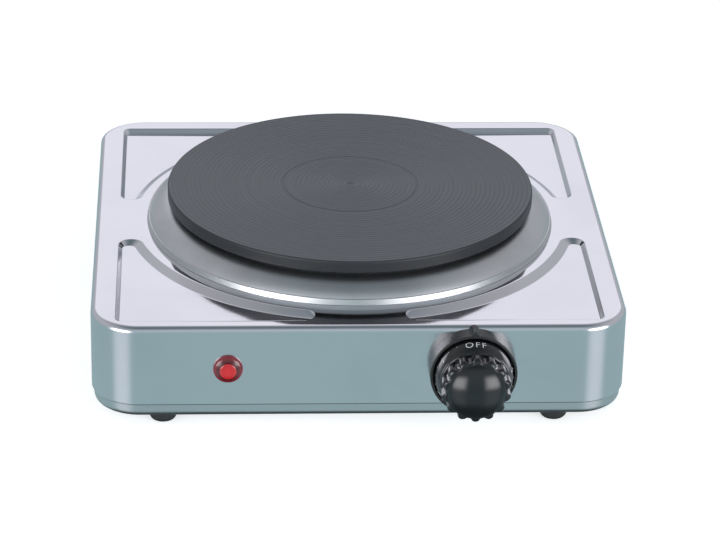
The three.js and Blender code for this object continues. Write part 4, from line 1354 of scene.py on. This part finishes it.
def makeDialPrint():
    stepAngle = math.radians(dial["step"])
    labels = [("OFF", dial["offHeight"], 0)]
    labels += [(str(k), dial["digitHeight"], -k * stepAngle) for k in range(1, 6)]
    vertices, faces = [], []
    for label in labels:
        join(vertices, faces, *wrappedText(*label))
    reach = dial["tickReach"]
    slope = math.atan2(bellRadius(reach - mm) - bellRadius(reach + mm), 2 * mm)
    between = stepAngle / (dial["ticksPerStep"] + 1)
    tree = makeTickTree()
    for k in range(5):
        ticks = grow("dialTicks", tree, {
            "Count": dial["ticksPerStep"],
            "First Angle": -k * stepAngle - between,
            "Angle Step": -between,
            "Radius": bellRadius(reach),
            "Centre": (knobX, frontFace - reach, knobZ),
            "Tilt": -slope,
            "Size": (dial["tickWidth"], dial["tickLength"], 0.08 * mm),
            "Material": printWhite,
        })
        joinObject(vertices, faces, ticks)
    piece = addObject("dialPrint", plainMesh("dialPrint", vertices, faces, printWhite))
    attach(piece, "knob_unit")
    return piece


dialPrint = makeDialPrint()
print("dial print:", len(dialPrint.data.polygons), "faces")


# Pilot lamp lens.
lens = {
    "stem": 5.3 * mm,
    "wall": 1.4 * mm,
    "face": 4.1 * mm,
    "back": 0.1 * mm,  # clear of the housing
    "hollow": 1.2 * mm,
}


def makeLens():
    radius, rise, depth = (lensHigh.x - lensLow.x) / 2, frontFace - lensLow.y, lensHigh.y - frontFace
    stem, face, back = lens["stem"], lens["face"], lens["back"]
    rows = softened([
        (0, rise, 0),
        (face * 0.55, rise - 0.1 * mm, 0.8 * mm),
        (face, rise - 0.55 * mm, 0.5 * mm),
        (4.6 * mm, rise - 1.4 * mm, 0.3 * mm),
        (5.0 * mm, rise - 1.5 * mm, 0.2 * mm),
        (radius - 0.9 * mm, 1.9 * mm, 0.6 * mm),
        (radius, 0.8 * mm, 0.5 * mm),
        (radius, back, 0),
        (stem, back, 0),
        (stem, -depth, 0.2 * mm),
        (stem - lens["wall"], -depth, 0.2 * mm),
        (stem - lens["wall"], lens["hollow"], 0.4 * mm),
        (0, lens["hollow"], 0),
    ], steps=6)
    piece = turnedPiece("lampLens", rows, 96, outOfWall(lensX, lensZ), finishes["lamp_red"])
    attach(piece, "housing")
    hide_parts("lamp_lens")
    return piece


makeLens()


# Cord gland.

def makeGland():
    bore, body, flange = 3.6 * mm, 6.6 * mm, (glandHigh.x - glandLow.x) / 2
    reach = glandHigh.y - backFace
    inside = backFace - glandLow.y
    rows = softened([
        (bore, reach, 0),
        (bore + 0.4 * mm, reach, 0.2 * mm),
        (body - 1.2 * mm, reach, 0.8 * mm),
        (flange - 1.6 * mm, 2.7 * mm, 1.2 * mm),
        (flange, 1.9 * mm, 0.6 * mm),
        (flange, 0.1 * mm, 0.3 * mm),
        (body, 0.1 * mm, 0),
        (body, -inside, 0.3 * mm),
        (bore, -inside, 0),
    ], steps=6)
    place = outOfWall(glandX, glandZ, backFace, 1)
    piece = turnedPiece("glandBush", rows, 72, place, finishes["gland_rubber"], closed=True)
    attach(piece, "housing")
    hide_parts("cord_gland")
    return piece


makeGland()
print("lamp lens and gland made")


# Feet and their screws.

feet = {
    "radius": 6.8 * mm,
    "height": 5.4 * mm,
    "pocket": 3.8 * mm,
    "pocketDepth": 3 * mm,
    "bore": 2.2 * mm,
    "steps": 48,
    "screwHead": 3.3 * mm,
    "screwShank": 1.9 * mm,
    "crossWidth": 0.8 * mm,
    "crossLength": 3.8 * mm,
}


# Puts a copy of a template mesh on every point of the start mesh.
def makeScatterTree():
    tree, given = newGeometryTree("copiesOnPoints", {"Object": ["Template"], "Material": ["Material"]})
    toPoints = addNode(tree, "GeometryNodeMeshToPoints", {"Mesh": given["Geometry"]})
    info = addNode(tree, "GeometryNodeObjectInfo", {"Object": given["Template"]})
    place = addNode(tree, "GeometryNodeInstanceOnPoints", {
        "Points": toPoints.outputs["Points"], "Instance": info.outputs["Geometry"],
    })
    return endTree(tree, place.outputs["Instances"], given)


scatterTree = makeScatterTree()


def copiesAtFeet(name, template, material, nodePrefix):
    points = bpy.data.meshes.new(name)
    places = []
    for corner in footCorners:
        low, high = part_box("foot_" + corner)
        places.append(((low.x + high.x) / 2, (low.y + high.y) / 2, 0))
    points.from_pydata(places, [], [])
    piece = grow(name, scatterTree, {"Template": template, "Material": material}, points)
    bpy.data.objects.remove(template)
    smoothed(piece.data)
    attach(piece, "housing")
    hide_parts(*[nodePrefix + corner for corner in footCorners])
    return piece


def aroundOwnAxis(radius, angle, height):
    return Vector((radius * math.cos(angle), radius * math.sin(angle), height))


def makeFeet():
    rows = softened([
        (feet["bore"], feet["height"], 0),
        (feet["radius"], feet["height"], 0.4 * mm),
        (feet["radius"], 1.8 * mm, 0.8 * mm),
        (feet["radius"] - 1.3 * mm, 0, 0.9 * mm),
        (feet["pocket"], 0, 0.3 * mm),
        (feet["pocket"], feet["pocketDepth"], 0.3 * mm),
        (feet["bore"], feet["pocketDepth"], 0),
    ], steps=6)
    rubber = finishes["foot_rubber"]
    template = turnedPiece("footTemplate", rows, feet["steps"], aroundOwnAxis, rubber, closed=True)
    return copiesAtFeet("rubberFeet", template, rubber, "foot_")


def makeFootScrews():
    low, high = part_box("foot_screw_front_left")
    head = feet["pocketDepth"] - 0.1 * mm
    rows = softened([
        (0, low.z, 0),
        (feet["screwHead"] * 0.6, low.z + 0.05 * mm, 0.6 * mm),
        (feet["screwHead"], low.z + 0.9 * mm, 0.5 * mm),
        (feet["screwHead"], head, 0.2 * mm),
        (feet["screwShank"], head, 0),
        (feet["screwShank"], high.z - 0.6 * mm, 0),
        (feet["screwShank"] * 0.6, high.z, 0),
        (0, high.z, 0),
    ])
    template = turnedPiece("screwTemplate", rows, 32, aroundOwnAxis, finishes["plated_fixing"])
    wide, long = feet["crossWidth"] / 2, feet["crossLength"] / 2
    outline = [
        (long, -wide), (long, wide), (wide, wide), (wide, long), (-wide, long), (-wide, wide),
        (-long, wide), (-long, -wide), (-wide, -wide), (-wide, -long), (wide, -long), (wide, -wide),
    ]
    # the cross narrows a little on its way into the head
    vertices = [(x, y, low.z - mm) for x, y in outline]
    vertices += [(x * 0.8, y * 0.8, low.z + 1.1 * mm) for x, y in outline]
    cutAway(template, meshObject("crossCutter", vertices, prismFaces(len(outline)), finishes["plated_fixing"]))
    return copiesAtFeet("footScrews", template, finishes["plated_fixing"], "foot_screw_")


makeFeet()
makeFootScrews()
print("feet and foot screws made")


# Stage, world and lights.

studio = {
    "floorTone": (0.86, 0.86, 0.87),
    "floorGlow": 0.62,
    "low": (0.31, 0.43, 0.45),
    "lowLobe": (0.58, 0.66, 0.7),
    "under": (0.05, 0.065, 0.07),
    "sideSky": (0.44, 0.45, 0.48),
    "stripInner": 0.17,
    "stripOuter": 0.29,
    "lobeAngle": 44.0,  # degrees from straight in front to the middle of each lobe
    "lobeInner": 3.0,
    "lobeOuter": 27.0,
    # brightness of the upper half, by the height of a direction
    "sky": [
        (0.0, (0.36, 0.4, 0.43)),
        (0.16, (0.42, 0.44, 0.47)),
        (0.28, (0.85, 0.845, 0.92)),
        (0.57, (0.85, 0.845, 0.92)),
        (0.7, (0.42, 0.42, 0.45)),
        (0.87, (0.33, 0.34, 0.36)),
        (0.94, (0.2, 0.235, 0.255)),
        (1.0, (0.13, 0.16, 0.175)),
    ],
    "frontSky": [
        (0.0, (0.34, 0.44, 0.48)),
        (0.3, (0.42, 0.5, 0.54)),
        (0.7, (0.42, 0.48, 0.52)),
        (0.85, (0.26, 0.3, 0.33)),
        (0.94, (0.17, 0.21, 0.23)),
        (1.0, (0.13, 0.16, 0.175)),
    ],
    "windowEdges": [(-0.26, -0.02), (0.52, 0.2)],
    "windowGlow": (4.0, 4.0, 4.1),
    "boxDistance": 0.9,
    "underEdge": (-0.6, -0.95),  # the ground darkens between these heights of a direction
    "aheadEdge": (0.1, -0.35),  # the sky changes to the front one
    "horizon": (-0.04, 0.04),
    "boxSize": 0.7,
    "boxPower": 2.6,
    # name, azimuth, elevation, and its shares of the size and power
    "softboxes": [("leftSoftbox", -52, 7, 0.5, 0.7), ("rightSoftbox", 40, 7, 0.75, 1)],
}


def makeFloor():
    half, level = 6.0, -0.0002
    finish = Finish("paleFloor", {
        "Roughness": 0.9,
        "Specular IOR Level": 0.1,
        "Emission Color": (1, 1, 1, 1),
        "Emission Strength": studio["floorGlow"],
    })
    tone = studio["floorTone"]
    smear = finish.effect(smudges, Scale=1.5, Low=0.3, High=0.8)["Mask"]
    material = finish.feed(finish.mix(smear, tone, tuple(c * 0.99 for c in tone)))
    corners = [(x, y, level) for x, y in ((-half, -half), (half, -half), (half, half), (-half, half))]
    floor = addObject("studioFloor", plainMesh("studioFloor", corners, [(0, 1, 2, 3)], material))
    floor.visible_glossy = False


def makeWorld():
    world = bpy.data.worlds.new("softStudio")
    world.use_nodes = True
    tree = world.node_tree

    def soft(value, start, end):
        return mapRange(tree, value, start, end, kind="SMOOTHSTEP")

    split = addNode(tree, "ShaderNodeSeparateXYZ", {"Vector": coordinates(tree)["Generated"]}).outputs
    height = split["Z"]
    sideways = mathNode(tree, "ABSOLUTE", split["X"])
    # how near a direction below the horizon is to the middle of a side lobe
    lobe, inner, outer = (math.radians(studio[key]) for key in ("lobeAngle", "lobeInner", "lobeOuter"))
    level = vectorNode(tree, "NORMALIZE", vectorOf(tree, X=sideways, Y=split["Y"]))
    match = vectorNode(tree, "DOT_PRODUCT", level, (math.sin(lobe), -math.cos(lobe), 0), output="Value")
    lobeMask = soft(match, math.cos(outer), math.cos(inner))
    lower = mixColours(tree, lobeMask, studio["low"], studio["lowLobe"])
    ground = mixColours(tree, soft(height, *studio["underEdge"]), lower, studio["under"])
    # behind the camera's line of sight the sky is bright; to both sides it is grey
    skies = [colourRamp(tree, height, studio[name]) for name in ("sky", "frontSky")]
    upper = mixColours(tree, soft(split["Y"], *studio["aheadEdge"]), *skies)
    strip = soft(sideways, studio["stripInner"], studio["stripOuter"])
    aside = mixColours(tree, strip, upper, studio["sideSky"], blend_type="DARKEN")
    whole = mixColours(tree, soft(height, *studio["horizon"]), ground, aside)
    # a soft window of light to each side, from just under the horizon upwards
    window = lobeMask
    for edge in studio["windowEdges"]:
        window = mathNode(tree, "MULTIPLY", window, soft(height, *edge))
    glow = mixColours(tree, window, whole, studio["windowGlow"], clamp_result=False)
    tree.links.new(glow, tree.nodes["Background"].inputs["Color"])
    bpy.context.scene.world = world


def makeSoftbox(name, azimuth, elevation, sizeShare, powerShare):
    data = bpy.data.lights.new(name, "AREA")
    data.shape = "RECTANGLE"
    data.size = studio["boxSize"] * sizeShare
    data.size_y = studio["boxSize"]
    data.energy = studio["boxPower"] * powerShare
    light = addObject(name, data)
    a, e = math.radians(azimuth), math.radians(elevation)
    away = Vector((math.sin(a) * math.cos(e), -math.cos(a) * math.cos(e), math.sin(e)))
    light.location = Vector((centreX, centreY, shellTop / 2)) + away * studio["boxDistance"]
    light.visible_glossy = False
    light.rotation_mode = "QUATERNION"
    light.rotation_quaternion = away.to_track_quat("Z", "Y")


makeFloor()
makeWorld()
for softbox in studio["softboxes"]:
    makeSoftbox(*softbox)
bpy.context.scene.view_settings.view_transform = "Standard"
bpy.context.scene.view_settings.look = "None"
print("stage and lights set")
